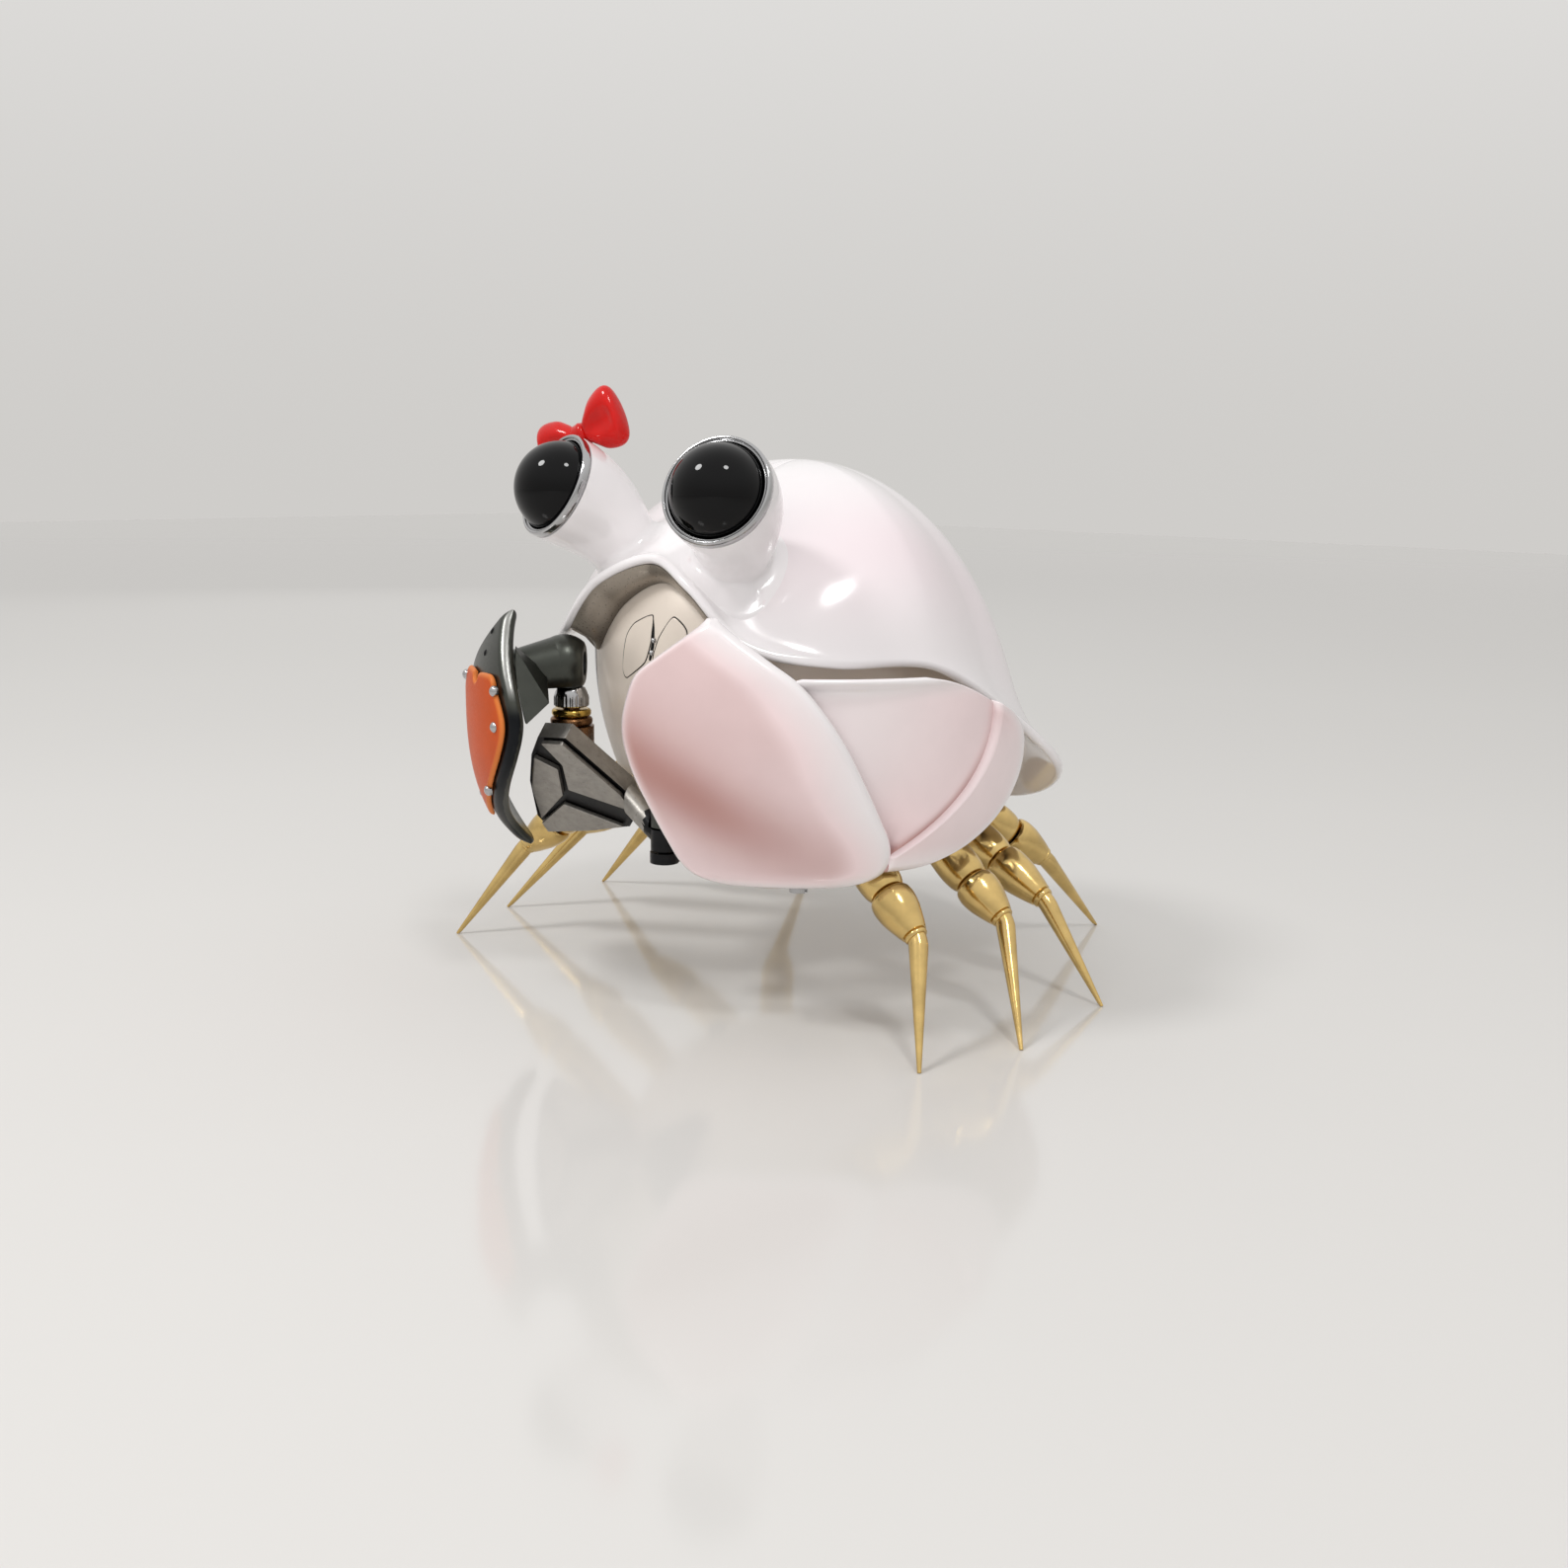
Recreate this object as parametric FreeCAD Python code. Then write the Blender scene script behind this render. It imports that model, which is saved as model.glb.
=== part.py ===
import FreeCAD, Part
import math
import os
from FreeCAD import Vector

# A table-top crab figurine of cast and turned metal with enamelled shells.
# The crab faces -Y, its left side is +X, and it stands on eight leg tips at height zero.
# All sizes are millimetres.

# Carapace: the white hood
carapace_half_width = 38.7
carapace_front_y = -20.5
carapace_length = 68.0
carapace_top = 75.3
carapace_crown_y = 11.3
carapace_wall = 1.4
carapace_flare_front = 2.2
carapace_flare_side = 1.6
carapace_flare_corner = 7.4
carapace_flare_back = 5.0
# rim points from the middle of the brim round the left side to the middle of the back:
# across as a share of the half width, along as a share of the length, height as a share of the top
rim_shares = [
    (0, 0, 0.83),
    (0.235, -0.025, 0.784),
    (0.444, 0.003, 0.69),
    (0.666, 0.118, 0.657),
    (0.849, 0.301, 0.644),
    (0.953, 0.485, 0.558),
    (1, 0.684, 0.432),
    (0.627, 0.89, 0.325),
    (0, 1, 0.292),
]
# how fast the hood spreads and drops from the crown: a quarter round at the sides, fuller over the brim
side_spread_power = 1
front_spread_power = 1.5
side_rise_power = 1
front_rise_power = 2
flare_power = 14
hood_steps = 25

# Body: an egg-shaped shell with the face at its front, and a belly bowl below a seam
body_half_width = 26.0
body_half_length = 28.5
body_centre_y = 8.0
body_waist_z = 47.0
body_depth = 35.8
body_rise = 25.0
body_wall = 1.6
body_seam_share = 0.6425
body_seam_z = body_waist_z - body_depth * body_seam_share
seat_gap = 0.06
chassis_thickness = 2.0
body_post_radius = 1.8
post_spread = 11.0
screw_count = 3
screw_ring = 9.0
screw_shaft_radius = 0.8
screw_head_radius = 1.4
screw_head_height = 0.9
screw_slot_width = 0.4

# Face: two mouth plates let into the shell, with two pins in the slit between them
mouth_depth = 0.9
mouth_relief = 0.25
mouth_joint = 0.14
mouth_half_width = 6.4
mouth_height = 9.2
mouth_bottom_z = 45.2
mouth_pin_radius = 0.42
mouth_right_shares = [
    (-0.03, 1), (-0.58, 0.84), (-0.79, 0.64), (-0.86, 0.12),
    (-0.72, 0), (-0.1, 0.28), (0.03, 0.58),
]
mouth_left_shares = [(0.22, 0.66), (0.5, 1), (0.91, 0.8), (0.98, 0.2), (0.72, 0), (0.1, 0.27)]
mouth_pin_shares = [(0.1, 0.62), (0.08, 0.44)]

# Brim liner: the bare metal band between the hood's brim and the face
liner_drop = 2.6
liner_narrow_share = 0.84
liner_turn = 0.126
liner_front_reach_share = 0.985
liner_rear_reach_share = 0.965
liner_thickness = 0.9
liner_bulge = 0.3
liner_steps = 12

# Eyes: a glass ball in a bezel on a bent stalk
eye_spread = 14.6
eye_front_y = -23.5
eye_height = 71.1
eye_yaw = 16.4
eye_pitch = 24.0
eye_ball_radius = 6.45
eye_ball_setback = 0.9
bezel_radius = 7.4
bezel_width = 1.0
bezel_depth = 1.3
bezel_rounding_share = 0.3
stalk_foot_x = 9.6
stalk_foot_y = -14.2
stalk_foot_z = 58.6
stalk_foot_radius = 4.3
stalk_head_length = 6.5
stalk_root_length = 4.5
stalk_bulge = 0.2
stalk_steps = 7

# Bow on the right eye stalk
bow_half_length = 7.6
bow_half_height = 4.4
bow_half_depth = 1.9
bow_knot_radius = 1.75
bow_turn = 6.0
bow_tilt = 27.0
bow_rise = 1.2
bow_back = 2.5
bow_shift = 2.1
bow_foot_radius = 1.0
# loop sections from the knot outwards: reach, height and depth shares
bow_section_shares = [
    (0.1, 0.34, 0.6), (0.26, 0.6, 0.85), (0.45, 0.88, 1),
    (0.75, 1, 1), (0.94, 0.86, 0.8), (1, 0.58, 0.45),
]

# Legs: hip lobe, turned barrel and tapered spike, four to a side
leg_pairs = 4
# hip seams about the body's middle: shares of its half width, half length and depth
hip_shares = [(1.213, -0.547, -0.788), (1.346, -0.009, -0.807), (1.173, 0.519, -0.821), (0.896, 1.039, -0.81)]
# from the hip seam to the knee, and across and along the ground to the tip
knee_offsets = [(5.96, -1.51, -4.59), (6.0, -0.94, -4.11), (8.3, -0.79, -4.41), (3.7, 4.99, -4.4)]
tip_offsets = [(12.86, -10.41), (15.0, -10.24), (19.4, -2.79), (6.7, 18.39)]
lobe_length = 18.0
lobe_radius = 3.0
barrel_radius = 3.05
collar_radius = 1.65
elbow_rise = 0.3
spike_radius = 1.32
spike_tip_radius = 0.28
spike_sink = 1.6
peg_radius = 1.1
peg_length = 3.2
peg_clearance = 0.05
joint_gap = 0.3
lobe_shares = [(0, 0.72), (0.45, 0.86), (0.8, 1), (1, 0.86)]
# barrel outline: length share, and how far from the collar radius to the full radius
barrel_shares = [
    (0, 0.7), (0.1, 0.92), (0.22, 1), (0.42, 0.88),
    (0.62, 0.6), (0.8, 0.3), (0.93, 0.08), (1, 0),
]
spike_plug_radius = 0.8

# Claws: both follow the same kind of upright bowl around the front of the body
claw_centre_x = 5.0
claw_centre_y = 5.0
claw_reach = 35.5
claw_waist_z = 42.0
claw_tuck = 4.5
claw_tuck_height = 22.0
claw_thickness = 2.6
claw_steps = 24
edge_power = 6
edge_reach = 0.97
# Pink claw, front shell: height, then the angles of its inner and outer edge
palm_bottom_z = 20.2
palm_height = 35.2
palm_share_rows = [
    (0, 22, 52),
    (0.03, 14.5, 59),
    (0.08, 10.5, 62.5),
    (0.17, 7.6, 62.1),
    (0.28, 4.4, 58.6),
    (0.42, 0.3, 54.1),
    (0.56, -2, 49.6),
    (0.68, -0.9, 44.8),
    (0.78, 1.6, 39.6),
    (0.85, 6.8, 33.6),
    (0.92, 12.6, 27.2),
    (0.97, 16.6, 22.8),
    (1, 18.4, 20.6),
]
# Pink claw, back shell
back_bottom_z = 22.3
back_height = 26.0
back_share_rows = [
    (0, 60, 68),
    (0.03, 57, 76),
    (0.1, 55, 86.5),
    (0.22, 52.5, 96.5),
    (0.36, 48, 102.8),
    (0.5, 44, 104.8),
    (0.65, 40, 102.6),
    (0.76, 37, 97),
    (0.84, 35.5, 90),
    (0.92, 35, 82),
    (0.97, 36, 75),
    (1, 40, 68),
]
back_thickness = 1.6
back_pocket_depth = 2.2
back_overlap_drop = 2.9
lobe_room = 0.6
claw_swing = 15.0
relief_steps = 4
ridge_low_angle = 62.8
ridge_high_angle = 84.0
ridge_low_z = 26.5
ridge_high_z = 41.4

# Wrists: upright pins, given for the left side and mirrored for the right one
wrist_x = 15.0
wrist_y = -20.6
wrist_clearance = 0.05
wrist_pin_radius = 1.2
wrist_boss_radius = 3.2
wrist_boss_z = 30.5
wrist_boss_height = 7.1
washer_radius = 3.0
washer_height = 1.2
wrist_ring_radius = 2.8
wrist_ring_height = 1.1
nut_radius = 2.5
nut_height = 2.8
nut_ridges = 28
nut_ridge_depth = 0.12
nut_top_radius = 1.9
pin_rise = 6.0
hub_radius = 2.6
hub_height = 5.0
hub_bridge_radius = 1.9
# Shoulder: one upright pin in front of the body carries the eyes of both arms, the grey one below
shoulder_x = 2.0
shoulder_y = -19.4
shoulder_radius = 1.9
shoulder_drop = 2.0
shoulder_low_z = body_seam_z - shoulder_drop
shoulder_eye_height = 3.0
shoulder_pin_radius = 0.9
lug_radius = 2.0
lug_height = 1.5
strut_width = 2.8
arm_bar_radius = 1.5
arm_bar_boss_radius = 2.7
arm_bar_end = (0.6, 1.45)
arm_bar_end_radius = 1.8

# Grey claw: a shield on its own bowl; height share, then the angles of its inner and outer edge
shield_centre_x = -5.0
shield_centre_y = 2.0
shield_reach = 37.6
shield_waist_z = 42.0
shield_bottom_z = 18.2
shield_height = 36.0
shield_thickness = 2.2
shield_tuck = 7.0
shield_lean = 3.4
shield_share_rows = [
    (0, 43.5, 47),
    (0.04, 40.6, 48.8),
    (0.1, 36.8, 50),
    (0.2, 28.5, 50.4),
    (0.32, 19.6, 49.6),
    (0.45, 12.6, 47.6),
    (0.58, 9.2, 45),
    (0.7, 11, 42),
    (0.8, 14.6, 37),
    (0.89, 18.4, 31),
    (0.96, 21.6, 26.6),
    (1, 23.2, 24.4),
]
panel_thickness = 0.8
panel_bottom_z = 24.0
panel_height = 21.9
panel_edge_angle = 2.4
panel_steps = 10
notch_angle = 26.0
notch_radius = 1.3
rivet_radius = 0.75
rivet_height = 0.55
rivet_lift = 0.18
rivet_places = [(37.4, 44.3), (14.8, 43.9), (14.6, 39.0), (22.5, 29.2), (44.6, 26.0)]
facet_top_z = 50.0
facet_low_z = 39.2
facet_corner = (-10.5, -29.0, 42.1)
facet_back = (-15.2, -25.0, 45.4)
facet_depth = 1.6
drum_centre = (-15.8, -21.1, 46.4)
drum_radius = 4.1
drum_flat = 2.9
drum_room = 1.0
drum_root = (-21.3, -30.3, 44.8)
drum_root_radius = 2.6
drum_recess_radius = 1.7
drum_recess_depth = 1.3
drum_heading = 38.6

# Grey arm: a faceted block whose sloping front face carries three plates
arm_corner = (-10.5, -30.6, 38.4)
arm_normal_shares = (0.19, -0.72, -0.67)
arm_depth = 2.6
arm_plate_thickness = 0.7
arm_unit = 10.0
# outlines on the sloping face: across and down, as shares of the arm unit
arm_face_shares = [
    (-0.19, 0.24), (0.27, 0.2), (0.79, 1.3), (0.81, 1.78), (0.52, 2.19),
    (-0.13, 2.39), (-0.98, 2.58), (-1.06, 2.2), (-0.8, 1.32), (-0.48, 0.66),
]
plate_low_shares = [(-0.38, 1.72), (0.47, 2.13), (-0.13, 2.33), (-0.98, 2.52), (-0.99, 2.28)]
plate_middle_shares = [(-0.4, 0.63), (-0.1, 0.86), (-0.29, 1.5), (-0.95, 2.18), (-0.78, 1.4)]
plate_high_shares = [(-0.13, 0.28), (0.22, 0.26), (0.73, 1.33), (0.77, 1.7), (-0.13, 1.34), (0.02, 0.75)]

# Small numerical values
sew_reach = 0.001
tiny = 0.000001
probe_share = 0.002
loft_degree = 3


def mix(a, b, share):
    """The value that lies the given share of the way from a to b."""
    return a + (b - a) * share


def smooth_through(values, place):
    """A smooth curve through evenly spaced values, read at a place counted in steps."""
    last = len(values) - 1
    k = min(max(int(math.floor(place)), 0), last - 1)
    f = place - k
    p1 = values[k]
    p2 = values[k + 1]
    p0 = values[k - 1] if k > 0 else p2
    p3 = values[k + 2] if k + 2 <= last else p1
    return 0.5 * (2 * p1 + (p2 - p0) * f + (2 * p0 - 5 * p1 + 4 * p2 - p3) * f * f + (3 * p1 - p0 - 3 * p2 + p3) * f ** 3)


def mirrored_through(values, place, sign):
    """A smooth curve through a list that goes on past both ends as its mirror image, times a sign."""
    last = len(values) - 1
    k = min(int(math.floor(place)), last - 1)
    f = place - k
    p1 = values[k]
    p2 = values[k + 1]
    p0 = values[k - 1] if k > 0 else sign * values[1]
    p3 = values[k + 2] if k + 2 <= last else sign * values[last - 1]
    return 0.5 * (2 * p1 + (p2 - p0) * f + (2 * p0 - 5 * p1 + 4 * p2 - p3) * f * f + (3 * p1 - p0 - 3 * p2 + p3) * f ** 3)


def sheet(outer, inner):
    """A solid plate between two grids of points, closed by ruled edges."""
    faces = []
    borders = []
    for grid in (outer, inner):
        surface = Part.BSplineSurface()
        surface.interpolate(grid)
        faces.append(surface.toShape())
        u0, u1, v0, v1 = surface.bounds()
        borders.append([surface.uIso(u0), surface.vIso(v1), surface.uIso(u1), surface.vIso(v0)])
    for a, b in zip(borders[0], borders[1]):
        faces.append(Part.makeRuledSurface(a.toShape(), b.toShape()))
    shell = Part.makeCompound(faces)
    shell.sewShape(sew_reach)
    solid = Part.makeSolid(shell.Shells[0])
    if solid.Volume < 0:
        solid.reverse()
    return solid


def polygon_face(points):
    """A flat face with straight edges through the points."""
    return Part.Face(Part.makePolygon(list(points) + [points[0]]))


def spun(profile, foot, direction):
    """A solid of revolution: the profile lists (height, radius) up an axis from the foot."""
    points = [Vector(r, 0, h) for h, r in profile]
    low = profile[0][0]
    high = profile[-1][0]
    edges = []
    if profile[0][1] > 0:
        edges.append(Part.makeLine(Vector(0, 0, low), points[0]))
    if len(points) > 2:
        curve = Part.BSplineCurve()
        curve.interpolate(Points=points)
        edges.append(curve.toShape())
    else:
        edges.append(Part.makeLine(points[0], points[1]))
    if profile[-1][1] > 0:
        edges.append(Part.makeLine(points[-1], Vector(0, 0, high)))
    edges.append(Part.makeLine(Vector(0, 0, high), Vector(0, 0, low)))
    solid = Part.Face(Part.Wire(edges)).revolve(Vector(0, 0, 0), Vector(0, 0, 1), 360)
    solid = Part.makeSolid(Part.makeShell(solid.Faces))
    if solid.Volume < 0:
        solid.reverse()
    return placed(solid, foot, direction)


def placed(shape, foot, direction):
    """The shape stood on a foot point with its own Z turned to the direction."""
    shape = shape.copy()
    turn = FreeCAD.Rotation(Vector(0, 0, 1), direction)
    shape.Placement = FreeCAD.Placement(foot, turn).multiply(shape.Placement)
    return shape


def rod(foot, direction, radius, length):
    """A round bar from the foot point along the direction."""
    return Part.makeCylinder(radius, length, foot, direction)


def mirrored(shape):
    """The same piece on the other side of the crab."""
    return shape.mirror(Vector(0, 0, 0), Vector(1, 0, 0))


# Carapace

def rim_point(turn):
    """A point of the carapace rim; turn runs from 0 at the brim through 0.5 at the back to 1."""
    half = turn if turn <= 0.5 else 1 - turn
    side = 1 if turn <= 0.5 else -1
    place = 2 * half * (len(rim_shares) - 1)
    x = carapace_half_width * mirrored_through([row[0] for row in rim_shares], place, -1)
    y = carapace_front_y + carapace_length * mirrored_through([row[1] for row in rim_shares], place, 1)
    z = carapace_top * mirrored_through([row[2] for row in rim_shares], place, 1)
    return Vector(side * x, y, z)


def carapace_point(turn, reach):
    """A point of the hood's outer face; reach runs from 0 at the crown to 1 at the rim."""
    rim = rim_point(turn)
    half = 2 * (turn if turn <= 0.5 else 1 - turn)
    front = max(0.0, 1 - 2 * half)
    flares = [carapace_flare_front, carapace_flare_front, carapace_flare_side, carapace_flare_corner, carapace_flare_back]
    flare = smooth_through(flares, (len(flares) - 1) * half)
    out = Vector(rim.x, rim.y - carapace_crown_y, 0)
    way = Vector(out).normalize()
    base = out - way * flare
    bend = reach * math.pi / 2
    spread = math.sin(bend) ** mix(side_spread_power, front_spread_power, front)
    rise = max(0.0, math.cos(bend)) ** mix(side_rise_power, front_rise_power, front)
    lip = flare * reach ** flare_power
    x = base.x * spread + way.x * lip
    y = carapace_crown_y + base.y * spread + way.y * lip
    return Vector(x, y, mix(rim.z, carapace_top, rise))


def carapace_inside(turn, reach, depth):
    """The point of the hood a given depth below its outer face."""
    point = carapace_point(turn, reach)
    along = carapace_point((turn + probe_share) % 1, reach) - carapace_point((turn - probe_share) % 1, reach)
    down = carapace_point(turn, min(reach + probe_share, 1)) - carapace_point(turn, max(reach - probe_share, 0))
    normal = along.cross(down)
    if normal.Length < tiny:
        return point - Vector(0, 0, depth)
    normal.normalize()
    out = Vector(point.x, point.y - carapace_crown_y, carapace_top - point.z)
    if normal.dot(Vector(out.x, out.y, carapace_top)) < 0:
        normal = normal * -1
    return point - normal * depth


def disc_place(u, v):
    """Square coordinates from -1 to 1, turned into a turn and a reach on the hood."""
    p = u * math.sqrt(1 - v * v / 2)
    q = v * math.sqrt(1 - u * u / 2)
    return (math.atan2(p, -q) / (2 * math.pi)) % 1, min(1.0, math.hypot(p, q))


def hood(depth_out, depth_in):
    """The part of the hood's wall between two depths below its outer face."""
    steps = [2 * i / (hood_steps - 1) - 1 for i in range(hood_steps)]
    outer = [[carapace_inside(*disc_place(u, v), depth_out) for v in steps] for u in steps]
    inner = [[carapace_inside(*disc_place(u, v), depth_in) for v in steps] for u in steps]
    return sheet(outer, inner)


def carapace():
    """The white hood."""
    return hood(0, carapace_wall)


def brim_liner():
    """The bare metal band that closes the brim against the face."""
    outer = []
    inner = []
    for i in range(2 * liner_steps + 1):
        turn = (liner_turn * (i / liner_steps - 1)) % 1
        rim = carapace_inside(turn, liner_front_reach_share, carapace_wall + seat_gap)
        rear = carapace_inside(turn, liner_rear_reach_share, carapace_wall + seat_gap)
        low = face_point(rim.x * liner_narrow_share, rim.z - liner_drop, -seat_gap)
        low_rear = face_point(low.x, low.z + liner_thickness, -seat_gap)
        swell = Vector(0, -liner_bulge, -liner_bulge)
        outer.append([rim, (rim + low) * 0.5 + swell, low])
        inner.append([rear, (rear + low_rear) * 0.5 + swell, low_rear])
    return keep_largest(sheet(outer, inner).cut(drum_ball(drum_room)))


# Body

def body_scale(z, inset):
    """How wide the body is at a height, as a share of its widest."""
    reach = (body_depth if z < body_waist_z else body_rise) - inset
    return math.sqrt(max(0, 1 - ((z - body_waist_z) / reach) ** 2))


def egg_half(inset, reach):
    """A stretched ball as wide and long as the body, with its own reach up and down."""
    stretch = FreeCAD.Matrix()
    stretch.scale(body_half_width - inset, body_half_length - inset, reach - inset)
    ball = Part.makeSphere(1).transformGeometry(stretch)
    ball.translate(Vector(0, body_centre_y, body_waist_z))
    return ball


def egg(inset):
    """The body's egg shape, drawn in by an inset all round."""
    upper = egg_half(inset, body_rise).common(slab(body_waist_z, carapace_top * 2))
    lower = egg_half(inset, body_depth).common(slab(-carapace_top, body_waist_z))
    return upper.fuse(lower)


def slab(low, high):
    """A wide block between two heights, for cutting the body into layers."""
    reach = carapace_half_width + carapace_length
    return Part.makeBox(2 * reach, 2 * reach, high - low, Vector(-reach, -reach, low))


def body_shell():
    """The upper body with the face at its front."""
    shell = egg(0).cut(egg(body_wall))
    posts = [rod(p, Vector(0, 0, 1), body_post_radius, carapace_top - body_waist_z) for p in post_places()]
    for post in posts:
        shell = shell.fuse(post.cut(egg(body_wall)))
    shell = shell.common(slab(body_seam_z, carapace_top))
    shell = keep_largest(shell.cut(hood(-carapace_wall, carapace_wall + seat_gap)))
    for outline in (mouth_right_shares, mouth_left_shares):
        shell = shell.cut(mouth_prism(outline, mouth_joint).cut(egg(mouth_depth)))
    return keep_largest(shell)


def post_places():
    """Three posts on top of the body that carry the hood."""
    rear = Vector(0, body_centre_y + post_spread, body_waist_z)
    left = Vector(post_spread, body_centre_y, body_waist_z)
    right = Vector(-post_spread, body_centre_y, body_waist_z)
    return [rear, left, right]


def belly_plate():
    """The bowl that closes the body from below."""
    bowl = egg(0).cut(egg(body_wall))
    bowl = bowl.common(slab(0, body_seam_z - seat_gap))
    return cut_all(bowl, screw_shafts(screw_shaft_radius + seat_gap))


def chassis():
    """A plate across the seam that ties the shell, the bowl and the legs together."""
    plate = egg(body_wall + seat_gap)
    plate = plate.common(slab(body_seam_z, body_seam_z + chassis_thickness))
    return cut_all(plate, screw_shafts(screw_shaft_radius + seat_gap))


def screw_places():
    """Three screws through the belly, on a circle about the body's middle."""
    ring = screw_ring
    turns = [2 * math.pi * i / screw_count + math.pi / 2 for i in range(screw_count)]
    return [Vector(ring * math.cos(t), body_centre_y + ring * math.sin(t), 0) for t in turns]


def belly_floor(place):
    """The height of the bowl's outer face under a place."""
    share = math.hypot(place.x / body_half_width, (place.y - body_centre_y) / body_half_length)
    return body_waist_z - body_depth * math.sqrt(max(0, 1 - share * share))


def screw_shafts(radius):
    """Round holes or shafts from the belly up through the chassis plate."""
    top = body_seam_z + chassis_thickness
    return [rod(Vector(p.x, p.y, 0), Vector(0, 0, 1), radius, top) for p in screw_places()]


def belly_screws():
    """Cap screws that hold the bowl to the chassis plate."""
    screws = []
    for p in screw_places():
        low = belly_floor(p) - seat_gap
        foot = Vector(p.x, p.y, low - screw_head_height)
        head = rod(foot, Vector(0, 0, 1), screw_head_radius, screw_head_height * 3).cut(egg(-seat_gap))
        slot = Part.makeBox(screw_head_radius * 2, screw_slot_width, screw_head_height / 2)
        slot.translate(foot - Vector(screw_head_radius, screw_slot_width / 2, 0))
        top = body_seam_z + chassis_thickness
        shaft = rod(foot, Vector(0, 0, 1), screw_shaft_radius, top - foot.z)
        screws.append(keep_largest(keep_largest(head).fuse(shaft).cut(slot)))
    return Part.makeCompound(screws)


def cut_all(shape, tools):
    """The shape with several tools cut out of it."""
    for tool in tools:
        shape = shape.cut(tool)
    return shape


def mouth_prism(outline, spread):
    """A bar along Y with a mouth plate's outline, grown a little about its middle."""
    points = [(x * mouth_half_width, mouth_bottom_z + z * mouth_height) for x, z in outline]
    middle_x = sum(p[0] for p in points) / len(points)
    middle_z = sum(p[1] for p in points) / len(points)
    front = body_centre_y - body_half_length * 2
    grown = []
    for x, z in points:
        far = math.hypot(x - middle_x, z - middle_z)
        k = 1 + spread / far
        grown.append(Vector(middle_x + (x - middle_x) * k, front, middle_z + (z - middle_z) * k))
    return polygon_face(grown).extrude(Vector(0, body_half_length * 2, 0))


def mouth_plate(outline):
    """A thin plate that stands a little proud of the face."""
    return mouth_prism(outline, 0).common(egg(-mouth_relief)).cut(egg(mouth_depth - seat_gap))


def face_point(x, z, inset):
    """The point of the face at a place across and a height."""
    scale = body_scale(z, inset)
    width = (body_half_width - inset) * scale
    length = (body_half_length - inset) * scale
    return Vector(x, body_centre_y - length * math.sqrt(max(0, 1 - (x / width) ** 2)), z)


def mouth_pins():
    """Two round-headed pins in the slit of the mouth."""
    pins = []
    for across, up in mouth_pin_shares:
        head = face_point(mouth_half_width * across, mouth_bottom_z + up * mouth_height, 0)
        pins.append(keep_largest(Part.makeSphere(mouth_pin_radius, head).cut(egg(-seat_gap))))
    return Part.makeCompound(pins)


# Eyes

def eye_axis():
    """The way the left eye looks."""
    yaw = math.radians(eye_yaw)
    pitch = math.radians(eye_pitch)
    return Vector(math.sin(yaw) * math.cos(pitch), -math.cos(yaw) * math.cos(pitch), math.sin(pitch))


def eye_rim_centre():
    return Vector(eye_spread, eye_front_y, eye_height)


def eye_ball():
    """The glass ball of the left eye."""
    return Part.makeSphere(eye_ball_radius, eye_rim_centre() - eye_axis() * eye_ball_setback)


def eye_socket():
    """Room for the left ball and its seating gap."""
    return Part.makeSphere(eye_ball_radius + seat_gap, eye_rim_centre() - eye_axis() * eye_ball_setback)


def eye_bezel():
    """The polished ring round the left ball."""
    foot = eye_rim_centre() - eye_axis() * (bezel_depth / 2)
    ring = rod(foot, eye_axis(), bezel_radius, bezel_depth)
    ring = ring.makeFillet(bezel_depth * bezel_rounding_share, [e for e in ring.Edges if e.Closed])
    opening = rod(foot - eye_axis() * bezel_depth, eye_axis(), bezel_radius - bezel_width, bezel_depth * 3)
    return ring.cut(opening).cut(eye_socket())


def stalk_path(share):
    """The bent centre line of the left stalk, from inside the hood to the back of the bezel."""
    foot = Vector(stalk_foot_x, stalk_foot_y, stalk_foot_z)
    head = eye_rim_centre() - eye_axis() * (bezel_depth / 2 + seat_gap)
    near_foot = foot + Vector(0, 0, stalk_root_length)
    near_head = head - eye_axis() * stalk_head_length
    a = (1 - share) ** 3
    b = 3 * share * (1 - share) ** 2
    c = 3 * share * share * (1 - share)
    return foot * a + near_foot * b + near_head * c + head * share ** 3


def stalk_radius(share):
    """The stalk swells from its foot to the bezel."""
    swell = share * share * (3 - 2 * share)
    bulge = stalk_bulge * math.sin(math.pi * share) * share
    return mix(stalk_foot_radius, bezel_radius, swell) + bulge


def stalk_loft(spread):
    """The left stalk from its foot inside the hood to the bezel, grown by a spread."""
    wires = []
    for i in range(stalk_steps + 1):
        share = i / stalk_steps
        way = stalk_path(min(1, share + probe_share)) - stalk_path(max(0, share - probe_share))
        wires.append(Part.Wire([Part.Circle(stalk_path(share), way, stalk_radius(share) + spread).toShape()]))
    return Part.makeLoft(wires, True, False, False, loft_degree)


def eye_stalk():
    """The left stalk, seated on the hood, with a round socket for the ball."""
    stalk = stalk_loft(0).cut(eye_socket())
    return keep_largest(stalk.cut(hood(-seat_gap, stalk_foot_radius * 2)))


def keep_largest(shape):
    """The largest solid of a cut shape."""
    return max(shape.Solids, key=lambda s: s.Volume)


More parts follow.
